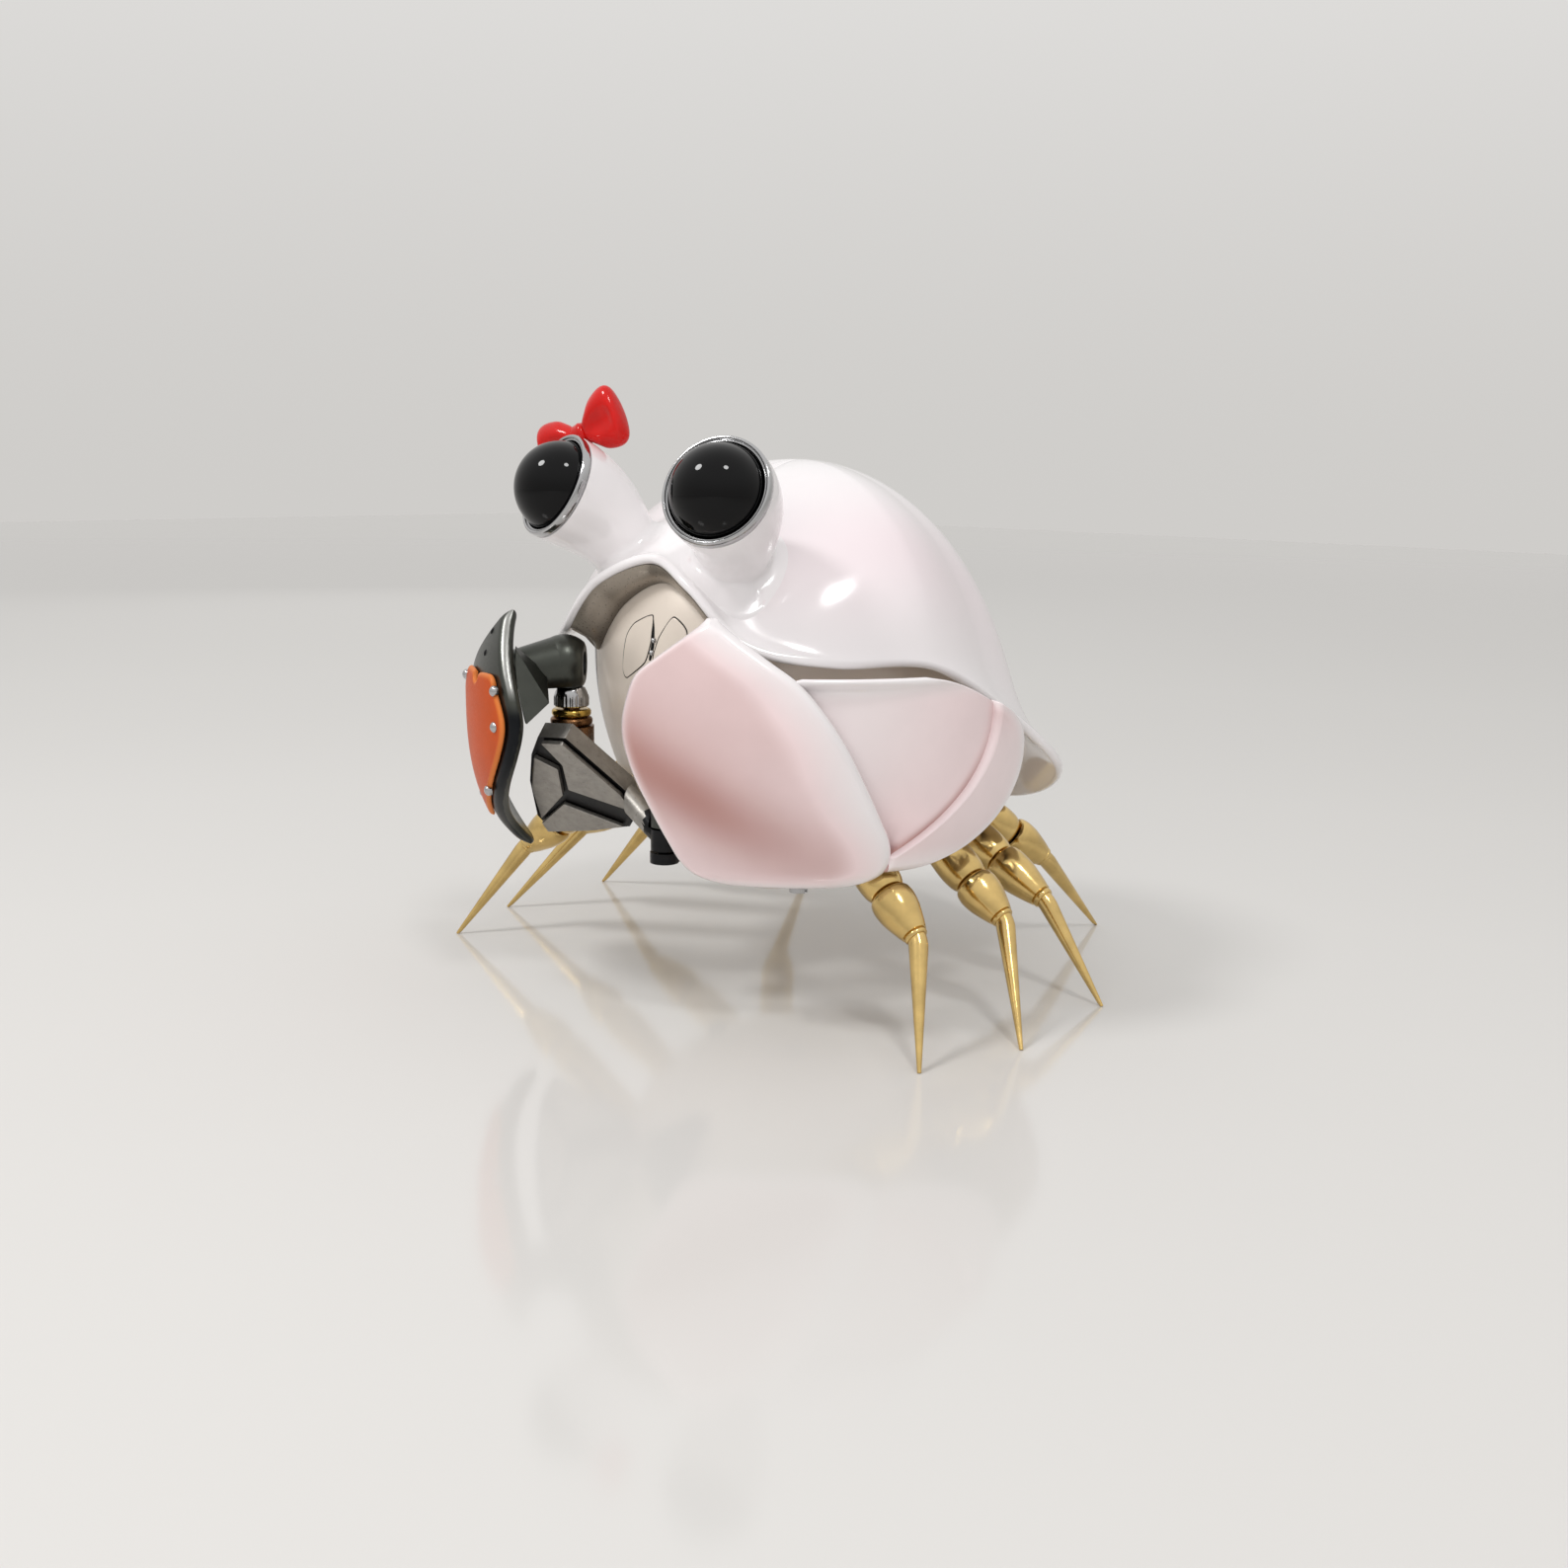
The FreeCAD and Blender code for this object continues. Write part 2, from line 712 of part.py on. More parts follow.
def bow_frame():
    """The middle of the bow and its three directions, on top of the right stalk."""
    axis = eye_axis()
    axis = Vector(-axis.x, axis.y, axis.z)
    up = (Vector(0, 0, 1) - axis * axis.z).normalize()
    rim = eye_rim_centre()
    middle = Vector(-rim.x - bow_shift, rim.y, rim.z) + up * (bezel_radius + bow_rise) - axis * bow_back
    turn = math.radians(bow_turn)
    tilt = math.radians(bow_tilt)
    across = Vector(math.cos(turn) * math.cos(tilt), math.sin(turn) * math.cos(tilt), math.sin(tilt))
    deep = across.cross(Vector(0, 0, 1)).normalize()
    return middle, across, deep.cross(across).normalize(), deep


def bow_loop(side):
    """One loop of the bow: a flattened bulb that starts at the knot."""
    middle, across, up, deep = bow_frame()
    wires = []
    for reach, height, depth in bow_section_shares:
        centre = middle + across * (side * bow_half_length * reach)
        tall = centre + up * (bow_half_height * height)
        thick = centre + deep * (bow_half_depth * depth)
        wires.append(Part.Wire([Part.Ellipse(tall, thick, centre).toShape()]))
    return Part.makeLoft(wires, True, False, False, loft_degree)


def bow_knot():
    """The round knot in the middle, seated on the stalk."""
    middle, across, up, deep = bow_frame()
    knot = Part.makeSphere(bow_knot_radius, middle)
    foot = rod(middle, up * -1, bow_foot_radius, bow_knot_radius * 2 + bow_rise)
    return keep_largest(knot.fuse(foot).cut(mirrored(stalk_envelope())))


def stalk_envelope():
    """The stalk, bezel and ball with a seating gap, to cut what rests on them."""
    foot = eye_rim_centre() - eye_axis() * (bezel_depth / 2 + seat_gap)
    rim = rod(foot, eye_axis(), bezel_radius + seat_gap, bezel_depth + 2 * seat_gap)
    return stalk_loft(seat_gap).fuse(rim).fuse(eye_socket())


def bow_loops():
    """Both loops, clear of the knot and the stalk."""
    middle, across, up, deep = bow_frame()
    foot = rod(middle, up * -1, bow_foot_radius + seat_gap, bow_knot_radius * 2 + bow_rise)
    knot = Part.makeSphere(bow_knot_radius + seat_gap, middle).fuse(foot)
    loops = [keep_largest(bow_loop(side).cut(knot).cut(mirrored(stalk_envelope()))) for side in (-1, 1)]
    return Part.makeCompound(loops)


# Legs

def leg_line(index):
    """Hip seam, knee and tip of a left leg."""
    across, along, drop = hip_shares[index]
    hip = Vector(body_half_width * across, body_centre_y + body_half_length * along, body_waist_z + body_depth * drop)
    knee = hip + Vector(*knee_offsets[index])
    tip = Vector(hip.x + tip_offsets[index][0], hip.y + tip_offsets[index][1], 0)
    return hip, knee, tip


def lobe_bar(index, spread):
    """The spindle of a hip lobe, from inside the body to the hip, grown by a spread."""
    hip, knee, tip = leg_line(index)
    way = (knee - hip).normalize()
    profile = [(lobe_length * h, lobe_radius * r + spread) for h, r in lobe_shares]
    return spun(profile, hip - way * lobe_length, way)


def hip_lobe(index):
    """The bulb between the body and the barrel, with a peg for the barrel."""
    hip, knee, tip = leg_line(index)
    way = (knee - hip).normalize()
    lobe = lobe_bar(index, 0).fuse(rod(hip - way * seat_gap, way, peg_radius, peg_length + seat_gap))
    if index > 0:
        lobe = lobe.cut(lobe_bar(index - 1, seat_gap))
    return keep_largest(lobe.cut(egg(-seat_gap)))


def leg_barrel(index):
    """The turned barrel, bored for the peg at its hip end and for the spike at its knee."""
    hip, knee, tip = leg_line(index)
    way = (knee - hip).normalize()
    length = (knee - hip).Length - joint_gap
    foot = hip + way * joint_gap
    profile = [(length * h, mix(collar_radius, barrel_radius, r)) for h, r in barrel_shares]
    barrel = spun(profile, foot, way)
    socket = rod(hip, way, peg_radius + peg_clearance, peg_length + joint_gap)
    plug_bore = rod(knee - way * spike_sink, way, spike_plug_radius + seat_gap, spike_sink * 2)
    elbow_seat = Part.makeSphere(spike_radius + seat_gap, knee + way * elbow_rise)
    return cut_all(barrel, [socket, plug_bore, elbow_seat])


def leg_spike(index):
    """The spike: a plug in the barrel, a round elbow seated in its end, and a long taper cut level at the ground."""
    hip, knee, tip = leg_line(index)
    way = (knee - hip).normalize()
    elbow = knee + way * elbow_rise
    down = (tip - elbow).normalize()
    plug = rod(knee - way * (spike_sink - seat_gap), way, spike_plug_radius, spike_sink + spike_radius)
    run = (tip - elbow).Length
    cone = Part.makeCone(spike_radius, spike_tip_radius, run + spike_tip_radius, elbow, down)
    spike = plug.fuse(Part.makeSphere(spike_radius, elbow)).fuse(cone)
    return keep_largest(spike.common(slab(0, carapace_top)))


# Claws

def pink_reach(z):
    """The reach of the pink claw's bowl from its upright axis at a height."""
    return claw_reach - claw_tuck * ((z - claw_waist_z) / claw_tuck_height) ** 2


def pink_point(angle, z, depth):
    """A point of the pink claw; the angle is counted from straight ahead towards the left."""
    reach = pink_reach(z) - depth
    turn = math.radians(angle)
    return Vector(claw_centre_x + reach * math.sin(turn), claw_centre_y - reach * math.cos(turn), z)


def shield_point(angle, z, depth):
    """A point of the grey claw; the angle is counted from straight ahead towards the right."""
    if z < shield_waist_z:
        sink = shield_tuck * ((shield_waist_z - z) / (shield_waist_z - shield_bottom_z)) ** 3
    else:
        rise = shield_bottom_z + shield_height - shield_waist_z
        sink = shield_lean * ((z - shield_waist_z) / rise) ** 2
    reach = shield_reach - sink - depth
    turn = math.radians(angle)
    return Vector(shield_centre_x - reach * math.sin(turn), shield_centre_y - reach * math.cos(turn), z)


def edge_sink(u, v):
    """How far a face sinks towards its edges, from 0 in the middle to 1 at a corner."""
    return 1 - ((1 - abs(u) ** edge_power) * (1 - abs(v) ** edge_power)) ** 0.5


def shell_plate(point, rows, bottom, height, outside, inside, rounding):
    """A curved plate between two depths; the rows give its edge angles at shares of its height."""
    outer = []
    inner = []
    for share, low, high in rows:
        z = bottom + height * share
        v = edge_reach * (2 * share - 1)
        out_row = []
        in_row = []
        for i in range(claw_steps + 1):
            u = 2 * i / claw_steps - 1
            angle = mix(low, high, i / claw_steps)
            sink = edge_sink(edge_reach * u, v) * rounding
            out_row.append(point(angle, z, outside(angle, z) + sink))
            in_row.append(point(angle, z, outside(angle, z) + inside))
        outer.append(out_row)
        inner.append(in_row)
    return sheet(outer, inner)


def edge_at(rows, share, side):
    """The edge angle of a shell at a share of its height."""
    for a, b in zip(rows, rows[1:]):
        if share <= b[0]:
            return mix(a[side], b[side], (share - a[0]) / (b[0] - a[0]))
    return rows[-1][side]


def pocket(angle, z):
    """The depth of the hollow in the back shell, deepest beside the front shell."""
    palm_edge = edge_at(palm_share_rows, max(0, (z - palm_bottom_z) / palm_height), 2)
    along = min(1, max(0, (z - ridge_low_z) / (ridge_high_z - ridge_low_z)))
    ridge = mix(ridge_low_angle, ridge_high_angle, along)
    start = min(palm_edge, ridge)
    if angle <= start:
        return back_overlap_drop
    if angle >= ridge:
        return 0
    return mix(back_overlap_drop, 0, (angle - start) / (ridge - start))


def level(angle, z):
    """A shell face that lies on the bowl itself."""
    return 0


def above(angle, z):
    """A shell face a seating gap in front of the bowl."""
    return -seat_gap


def palm_shell(outside, inside, rounding):
    """The front shell's outline between two depths."""
    return shell_plate(pink_point, palm_share_rows, palm_bottom_z, palm_height, outside, inside, rounding)


def front_leg_room():
    """Space for the first leg while the claw swings about the shoulder."""
    hip, knee, tip = leg_line(0)
    way = (knee - hip).normalize()
    room = lobe_bar(0, lobe_room).fuse(rod(hip, way, barrel_radius + lobe_room, barrel_radius * 2))
    rooms = []
    for i in range(relief_steps):
        turned = room.copy()
        turned.rotate(Vector(shoulder_x, shoulder_y, 0), Vector(0, 0, 1), claw_swing * i / (relief_steps - 1))
        rooms.append(turned)
    return rooms


def pink_palm():
    """The large front shell of the pink claw."""
    palm = palm_shell(level, claw_thickness, claw_thickness / 2)
    return keep_largest(cut_all(palm, front_leg_room()))


def palm_room():
    """The front shell with its seating gap, to cut what it covers."""
    return palm_shell(above, claw_thickness + 2 * seat_gap, 0)


def pink_back():
    """The back shell of the pink claw, tucked under the front one."""
    rounding = back_thickness / 2
    back = shell_plate(pink_point, back_share_rows, back_bottom_z, back_height, pocket, back_thickness, rounding)
    return keep_largest(cut_all(back.cut(palm_room()), front_leg_room()))


def wrist_top():
    """The height of the top of the wrist boss."""
    return wrist_boss_z + wrist_boss_height


def nut_foot():
    """The height where the turning half of the wrist starts."""
    return wrist_top() + 2 * seat_gap + washer_height + wrist_ring_height + joint_gap


def upright(x, y, z, radius, height):
    """An upright round bar."""
    return Part.makeCylinder(radius, height, Vector(x, y, z))


def shoulder_eye(low):
    """The round eye of an arm at the shoulder, from its lower face."""
    return upright(shoulder_x, shoulder_y, low, shoulder_radius, shoulder_eye_height)


def pink_eye_low():
    """The lower face of the pink arm's eye, above the grey one."""
    return shoulder_low_z + shoulder_eye_height + joint_gap


def shoulder_room(low):
    """Space for the shoulder pin, and for what lies over and under an eye."""
    high = low + shoulder_eye_height
    bore = upright(shoulder_x, shoulder_y, 0, shoulder_pin_radius + wrist_clearance, carapace_top)
    under = upright(shoulder_x, shoulder_y, 0, lug_radius + joint_gap, low)
    over = upright(shoulder_x, shoulder_y, high, lug_radius + joint_gap, shoulder_eye_height * 2)
    return [bore, under, over]


def shoulder_bracket():
    """Two lugs on the front of the body with the shoulder pin between them."""
    low_z = shoulder_low_z - joint_gap - lug_height
    high_z = pink_eye_low() + shoulder_eye_height + joint_gap
    reach = body_half_width
    left = shoulder_x - strut_width / 2
    spine_y = shoulder_y + shoulder_radius + joint_gap * 2
    bracket = upright(shoulder_x, shoulder_y, low_z, shoulder_pin_radius, high_z + lug_height - low_z)
    for z in (low_z, high_z):
        bracket = bracket.fuse(upright(shoulder_x, shoulder_y, z, lug_radius, lug_height))
        bracket = bracket.fuse(Part.makeBox(strut_width, reach, lug_height, Vector(left, shoulder_y, z)))
    spine = Part.makeBox(strut_width, reach, high_z + lug_height - low_z, Vector(left, spine_y, low_z))
    return keep_largest(bracket.fuse(spine).cut(egg(-seat_gap)))


def pink_arm():
    """The hidden arm of the pink claw, with the wrist pin on top."""
    boss = upright(wrist_x, wrist_y, wrist_boss_z, wrist_boss_radius, wrist_boss_height)
    pin = upright(wrist_x, wrist_y, wrist_boss_z, wrist_pin_radius, nut_foot() + pin_rise - wrist_boss_z)
    start = Vector(shoulder_x, shoulder_y, pink_eye_low() + shoulder_eye_height / 2)
    end = Vector(wrist_x, wrist_y, wrist_boss_z + arm_bar_boss_radius)
    bar = Part.makeCone(arm_bar_radius, arm_bar_boss_radius, (end - start).Length, start, end - start)
    arm = shoulder_eye(pink_eye_low()).multiFuse([boss, pin, bar])
    return keep_largest(cut_all(arm, shoulder_room(pink_eye_low())))


def wrist_bore(side):
    """Room for the wrist pin in the turning half of a wrist."""
    height = nut_foot() + pin_rise + joint_gap - wrist_boss_z
    return upright(side * wrist_x, wrist_y, wrist_boss_z, wrist_pin_radius + wrist_clearance, height)


def pink_hub():
    """The socket on the pink wrist pin, with a bar to the inside of the palm."""
    foot = wrist_top() + joint_gap
    hub = upright(wrist_x, wrist_y, foot, hub_radius, nut_foot() + pin_rise + lug_height - foot)
    heading = Vector(wrist_x - claw_centre_x, wrist_y - claw_centre_y, 0)
    start = Vector(wrist_x, wrist_y, foot + hub_height)
    bar = rod(start, heading, hub_bridge_radius, claw_reach - heading.Length)
    hub = hub.fuse(bar).cut(wrist_bore(1))
    return keep_largest(hub.cut(palm_room()))


def shield_shell(outside, inside, rounding):
    """The shield's outline between two depths."""
    return shell_plate(shield_point, shield_share_rows, shield_bottom_z, shield_height, outside, inside, rounding)


def grey_shield():
    """The tall pointed shield of the grey claw."""
    shield = shield_shell(level, shield_thickness, shield_thickness / 2)
    return cut_all(shield, [rivet_shaft(a, z, rivet_radius / 2 + seat_gap) for a, z in rivet_places])


def panel_rows():
    """Edge angles of the orange panel, a margin inside the shield's edges."""
    rows = []
    for i in range(panel_steps + 1):
        z = panel_bottom_z + panel_height * i / panel_steps
        share = (z - shield_bottom_z) / shield_height
        inner = edge_at(shield_share_rows, share, 1) + panel_edge_angle
        outer = edge_at(shield_share_rows, share, 2) - panel_edge_angle
        rows.append((i / panel_steps, inner, outer))
    return rows


def shield_outside(angle, z):
    """The face of the orange panel in front of the shield."""
    return -panel_thickness - seat_gap


def orange_panel():
    """The enamelled panel on the shield, with a notch between its two top tabs."""
    rows = panel_rows()
    rounding = panel_thickness / 2
    panel = shell_plate(shield_point, rows, panel_bottom_z, panel_height, shield_outside, panel_thickness, rounding)
    start = shield_point(notch_angle, panel_bottom_z + panel_height, shield_reach / 2)
    panel = panel.cut(rod(start, rivet_axis(notch_angle), notch_radius, shield_reach))
    return cut_all(panel, [rivet_shaft(a, z, rivet_radius / 2 + seat_gap) for a, z in rivet_places])


def rivet_axis(angle):
    """Straight out of the shield at an angle."""
    turn = math.radians(angle)
    return Vector(-math.sin(turn), -math.cos(turn), 0)


def rivet_shaft(angle, z, radius):
    """The shank of a rivet through the panel and the shield."""
    start = shield_point(angle, z, shield_thickness / 2)
    return rod(start, rivet_axis(angle), radius, shield_thickness / 2 + panel_thickness + rivet_lift)


def rivet_seat(angle, z):
    """The face that the rivet heads rest on, a seating gap in front of the panel."""
    return -panel_thickness - 2 * seat_gap


def shield_rivets():
    """Domed rivets on the orange panel."""
    seat = shell_plate(shield_point, panel_rows(), panel_bottom_z, panel_height, rivet_seat, panel_thickness, 0)
    rivets = []
    for angle, z in rivet_places:
        face = shield_point(angle, z, -panel_thickness - rivet_lift)
        dome_radius = (rivet_radius ** 2 + rivet_height ** 2) / (2 * rivet_height)
        ball = Part.makeSphere(dome_radius, face + rivet_axis(angle) * (rivet_height - dome_radius))
        dome = ball.common(rod(face, rivet_axis(angle), rivet_radius * 2, rivet_height * 2))
        rivets.append(keep_largest(dome.cut(seat)).fuse(rivet_shaft(angle, z, rivet_radius / 2)))
    return Part.makeCompound(rivets)


def solid_through(faces):
    """A flat-sided solid from its corner lists."""
    shell = Part.Shell([polygon_face(face) for face in faces])
    solid = Part.makeSolid(shell)
    if solid.Volume < 0:
        solid.reverse()
    return solid


def facet_corners(spread):
    """The four corners of the polished facet, pushed out from its middle."""
    corners = []
    for z in (facet_top_z, facet_low_z):
        angle = edge_at(shield_share_rows, (z - shield_bottom_z) / shield_height, 1)
        corners.append(shield_point(angle, z, facet_depth))
    corners.append(Vector(*facet_corner))
    corners.append(Vector(*facet_back))
    middle = (corners[0] + corners[1] + corners[2] + corners[3]) * 0.25
    return [c + (c - middle).normalize() * spread for c in corners]


def facet_block(spread):
    """A four-cornered block through the facet's corners."""
    a, b, c, d = facet_corners(spread)
    return solid_through([(a, b, c), (a, b, d), (a, c, d), (b, c, d)])


def horn_facet():
    """The polished facet between the shield's inner edge and the drum."""
    facet = facet_block(0)
    facet = facet.cut(shield_shell(above, shield_thickness + 2 * seat_gap, 0))
    return keep_largest(facet.cut(drum_body(seat_gap)))


def drum_ball(spread):
    """The round body of the drum, grown by a spread."""
    return Part.makeSphere(drum_radius + spread, Vector(*drum_centre))


def drum_body(spread):
    """The drum with its tapering root towards the shield, grown by a spread."""
    centre = Vector(*drum_centre)
    run = Vector(*drum_root) - centre
    root = Part.makeCone(drum_radius + spread, drum_root_radius + spread, run.Length, centre, run)
    return drum_ball(spread).fuse(root)


def wrist_drum():
    """The gunmetal drum over the grey wrist, with a flat and a round recess on the body side."""
    turn = math.radians(drum_heading)
    way = Vector(math.cos(turn), math.sin(turn), 0)
    centre = Vector(*drum_centre)
    flat = rod(centre + way * drum_flat, way, drum_radius * 2, drum_radius)
    recess = rod(centre + way * (drum_flat - drum_recess_depth), way, drum_recess_radius, drum_radius)
    shield_room = shield_shell(above, shield_thickness + 2 * seat_gap, 0)
    drum = cut_all(drum_body(0), [flat, recess, wrist_bore(-1), shield_room])
    foot = nut_foot() + nut_height + seat_gap
    return keep_largest(drum.common(slab(foot, carapace_top)))


def knurled_nut():
    """The domed nut under the drum, with fine upright ridges."""
    foot = Vector(-wrist_x, wrist_y, nut_foot())
    straight = nut_height / 2
    points = []
    for i in range(2 * nut_ridges):
        t = math.pi * i / nut_ridges
        r = nut_radius - nut_ridge_depth * (i % 2)
        points.append(foot + Vector(r * math.cos(t), r * math.sin(t), 0))
    body = polygon_face(points).extrude(Vector(0, 0, straight))
    dome_foot = foot + Vector(0, 0, straight)
    dome = Part.makeCone(nut_radius - nut_ridge_depth, nut_top_radius, nut_height - straight, dome_foot)
    return body.fuse(dome).cut(wrist_bore(-1))


def wrist_ring(foot, radius, height):
    """A flat ring round the right wrist pin with a rounded rim."""
    ring = upright(-wrist_x, wrist_y, foot, radius, height)
    ring = ring.makeFillet(height / 3, [e for e in ring.Edges if e.Closed])
    return ring.cut(upright(-wrist_x, wrist_y, foot - height, wrist_pin_radius + seat_gap, height * 3))


def wrist_washer():
    """The copper washer on the grey wrist boss."""
    return wrist_ring(wrist_top() + seat_gap, washer_radius, washer_height)


def brass_ring():
    """The brass ring over the washer."""
    return wrist_ring(wrist_top() + 2 * seat_gap + washer_height, wrist_ring_radius, wrist_ring_height)


def arm_axes():
    """The sloping face of the grey arm: corner, across, down and straight out."""
    out = Vector(*arm_normal_shares).normalize()
    across = Vector(0, 0, 1).cross(out).normalize()
    down = out.cross(across).normalize()
    if across.x < 0:
        across = across * -1
    if down.z > 0:
        down = down * -1
    return Vector(*arm_corner), across, down, out


def arm_prism(outline, depth, thickness):
    """A block with the outline on the sloping face, starting at a depth below it."""
    corner, across, down, out = arm_axes()
    start = corner - out * depth
    points = [start + across * (arm_unit * u) + down * (arm_unit * v) for u, v in outline]
    return polygon_face(points).extrude(out * -thickness)


def grey_arm():
    """The faceted arm with the wrist boss and pin, and a bar to its eye at the shoulder."""
    block = arm_prism(arm_face_shares, arm_plate_thickness + seat_gap, arm_depth)
    boss = upright(-wrist_x, wrist_y, wrist_boss_z, wrist_boss_radius, wrist_boss_height)
    pin = upright(-wrist_x, wrist_y, wrist_boss_z, wrist_pin_radius, nut_foot() + pin_rise - wrist_boss_z)
    corner, across, down, out = arm_axes()
    start = Vector(shoulder_x, shoulder_y, shoulder_low_z + shoulder_eye_height / 2)
    end = corner + across * (arm_unit * arm_bar_end[0]) + down * (arm_unit * arm_bar_end[1])
    end = end - out * (arm_plate_thickness + arm_depth / 2)
    bar = Part.makeCone(arm_bar_radius, arm_bar_end_radius, (end - start).Length, start, end - start)
    arm = block.multiFuse([boss, pin, bar, shoulder_eye(shoulder_low_z)])
    arm = cut_all(arm, shoulder_room(shoulder_low_z))
    arm = arm.cut(facet_block(2 * joint_gap))
    arm = arm.cut(arm_prism(arm_face_shares, -arm_depth, arm_depth + arm_plate_thickness + seat_gap))
    return keep_largest(arm.cut(egg(-2 * joint_gap)))


def arm_plate(outline):
    """A thin plate on the sloping face."""
    return arm_prism(outline, 0, arm_plate_thickness)


def figure():
    """Every piece of the crab by name."""
    left_eye = {"eye_stalk": eye_stalk(), "eye_bezel": eye_bezel(), "eye_glass": eye_ball()}
    pieces = {
        "carapace": carapace(),
        "brim_liner": brim_liner(),
        "body_shell": body_shell(),
        "belly_plate": belly_plate(),
        "chassis": chassis(),
        "belly_screws": belly_screws(),
        "mouth_plate_left": mouth_plate(mouth_left_shares),
        "mouth_plate_right": mouth_plate(mouth_right_shares),
        "mouth_pins": mouth_pins(),
        "bow_knot": bow_knot(),
        "bow_loops": bow_loops(),
        "shoulder_bracket": shoulder_bracket(),
        "grey_arm": grey_arm(),
        "arm_plate_high": arm_plate(plate_high_shares),
        "arm_plate_middle": arm_plate(plate_middle_shares),
        "arm_plate_low": arm_plate(plate_low_shares),
        "wrist_washer": wrist_washer(),
        "brass_ring": brass_ring(),
        "knurled_nut": knurled_nut(),
        "wrist_drum": wrist_drum(),
        "horn_facet": horn_facet(),
        "grey_shield": grey_shield(),
        "orange_panel": orange_panel(),
        "shield_rivets": shield_rivets(),
        "pink_arm": pink_arm(),
        "pink_hub": pink_hub(),
        "pink_palm": pink_palm(),
        "pink_back": pink_back(),
    }
    for name, shape in left_eye.items():
        pieces[name + "_left"] = shape
        pieces[name + "_right"] = mirrored(shape)
    for index in range(leg_pairs):
        leg = {"hip_lobe": hip_lobe(index), "leg_barrel": leg_barrel(index), "leg_spike": leg_spike(index)}
        for name, shape in leg.items():
            pieces[name + "_left_" + str(index + 1)] = shape
            pieces[name + "_right_" + str(index + 1)] = mirrored(shape)
    return pieces


def joint_axes():
    """Point and direction of every joint's axis."""
    upward = Vector(0, 0, 1)
    axes = {
        "grey_shoulder": (Vector(shoulder_x, shoulder_y, shoulder_low_z), upward),
        "pink_shoulder": (Vector(shoulder_x, shoulder_y, pink_eye_low()), upward),
        "grey_wrist": (Vector(-wrist_x, wrist_y, nut_foot()), upward),
        "pink_wrist": (Vector(wrist_x, wrist_y, nut_foot()), upward),
    }
    for index in range(leg_pairs):
        hip, knee, tip = leg_line(index)
        way = (knee - hip).normalize()
        axes["leg_left_" + str(index + 1)] = (hip, way)
        axes["leg_right_" + str(index + 1)] = (Vector(-hip.x, hip.y, hip.z), Vector(-way.x, way.y, way.z))
    return axes


def export(pieces):
    """Writes one file per piece, with the origin under the middle of the whole figure."""
    whole = Part.makeCompound(list(pieces.values())).optimalBoundingBox()
    middle = Vector(0, -(whole.YMin + whole.YMax) / 2, 0)
    os.makedirs("parts", exist_ok=True)
    for name, shape in pieces.items():
        shape = shape.copy()
        shape.translate(middle)
        shape.exportStep("parts/" + name + ".step")
        print(name, shape.ShapeType, shape.isValid(), len(shape.Solids), round(shape.Volume, 1))
    print("moved by", middle, "box", whole)
    for name, (point, way) in joint_axes().items():
        print("joint", name, *(point + middle), *way)
    for index in range(leg_pairs):
        print("tip", index + 1, *(leg_line(index)[2] + middle))


export(figure())
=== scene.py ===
from math import acos, asin, cos, pi, radians, sin

import bmesh
import bpy
import numpy as np
from bpy.props import FloatProperty, FloatVectorProperty, IntProperty, PointerProperty
from bpy.types import Operator, Panel, PropertyGroup
from mathutils import Matrix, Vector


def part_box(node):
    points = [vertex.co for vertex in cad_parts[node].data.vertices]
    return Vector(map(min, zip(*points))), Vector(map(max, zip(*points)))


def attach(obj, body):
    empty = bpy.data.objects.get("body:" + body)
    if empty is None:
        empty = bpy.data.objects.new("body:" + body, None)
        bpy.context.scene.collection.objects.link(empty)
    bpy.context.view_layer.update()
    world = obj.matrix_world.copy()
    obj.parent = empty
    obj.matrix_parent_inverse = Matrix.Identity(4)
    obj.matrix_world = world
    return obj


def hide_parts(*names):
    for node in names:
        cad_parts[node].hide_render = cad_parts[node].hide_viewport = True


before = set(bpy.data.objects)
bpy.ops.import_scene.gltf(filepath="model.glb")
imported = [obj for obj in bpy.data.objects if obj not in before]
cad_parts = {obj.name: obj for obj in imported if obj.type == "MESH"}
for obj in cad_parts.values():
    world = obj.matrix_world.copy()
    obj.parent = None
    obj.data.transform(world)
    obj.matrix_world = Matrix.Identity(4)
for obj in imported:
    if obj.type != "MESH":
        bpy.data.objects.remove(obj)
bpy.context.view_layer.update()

bl_info = {
    "name": "Crab figurine",
    "version": (1, 0, 0),
    "blender": (4, 5, 0),
    "location": "3D View > Sidebar > Crab",
    "description": "Enamelled and polished metal crab figurine on its packed frame",
    "category": "Object",
}

# All shapes are worked out in millimetres. The crab faces -Y and its left side is +X.
EYE_YAW, EYE_PITCH = radians(16.4), radians(24.0)
EYE_WAY = np.array([sin(EYE_YAW) * cos(EYE_PITCH), -cos(EYE_YAW) * cos(EYE_PITCH), sin(EYE_PITCH)])
EYE_RIM = np.array([14.6, -23.5, 71.1])
BALL_RADIUS, BALL_SETBACK = 6.45, 0.9
BEZEL_RADIUS, BEZEL_DEPTH = 7.4, 1.3
STALK_FOOT = np.array([9.6, -14.2, 58.6])
BOW_SHIFT, BOW_RISE, BOW_BACK, BOW_REACH, BOW_HEIGHT, BOW_DEPTH = 2.1, 1.2, 2.5, 7.55, 4.35, 1.88
BALL_LOW, BALL_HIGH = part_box("eye_glass_left")
# how far the frame's origin lies from the one that the shapes are worked out in
SHIFT = np.array([0.0, (BALL_LOW[1] + BALL_HIGH[1]) * 500 - (EYE_RIM - EYE_WAY * BALL_SETBACK)[1], 0.0])

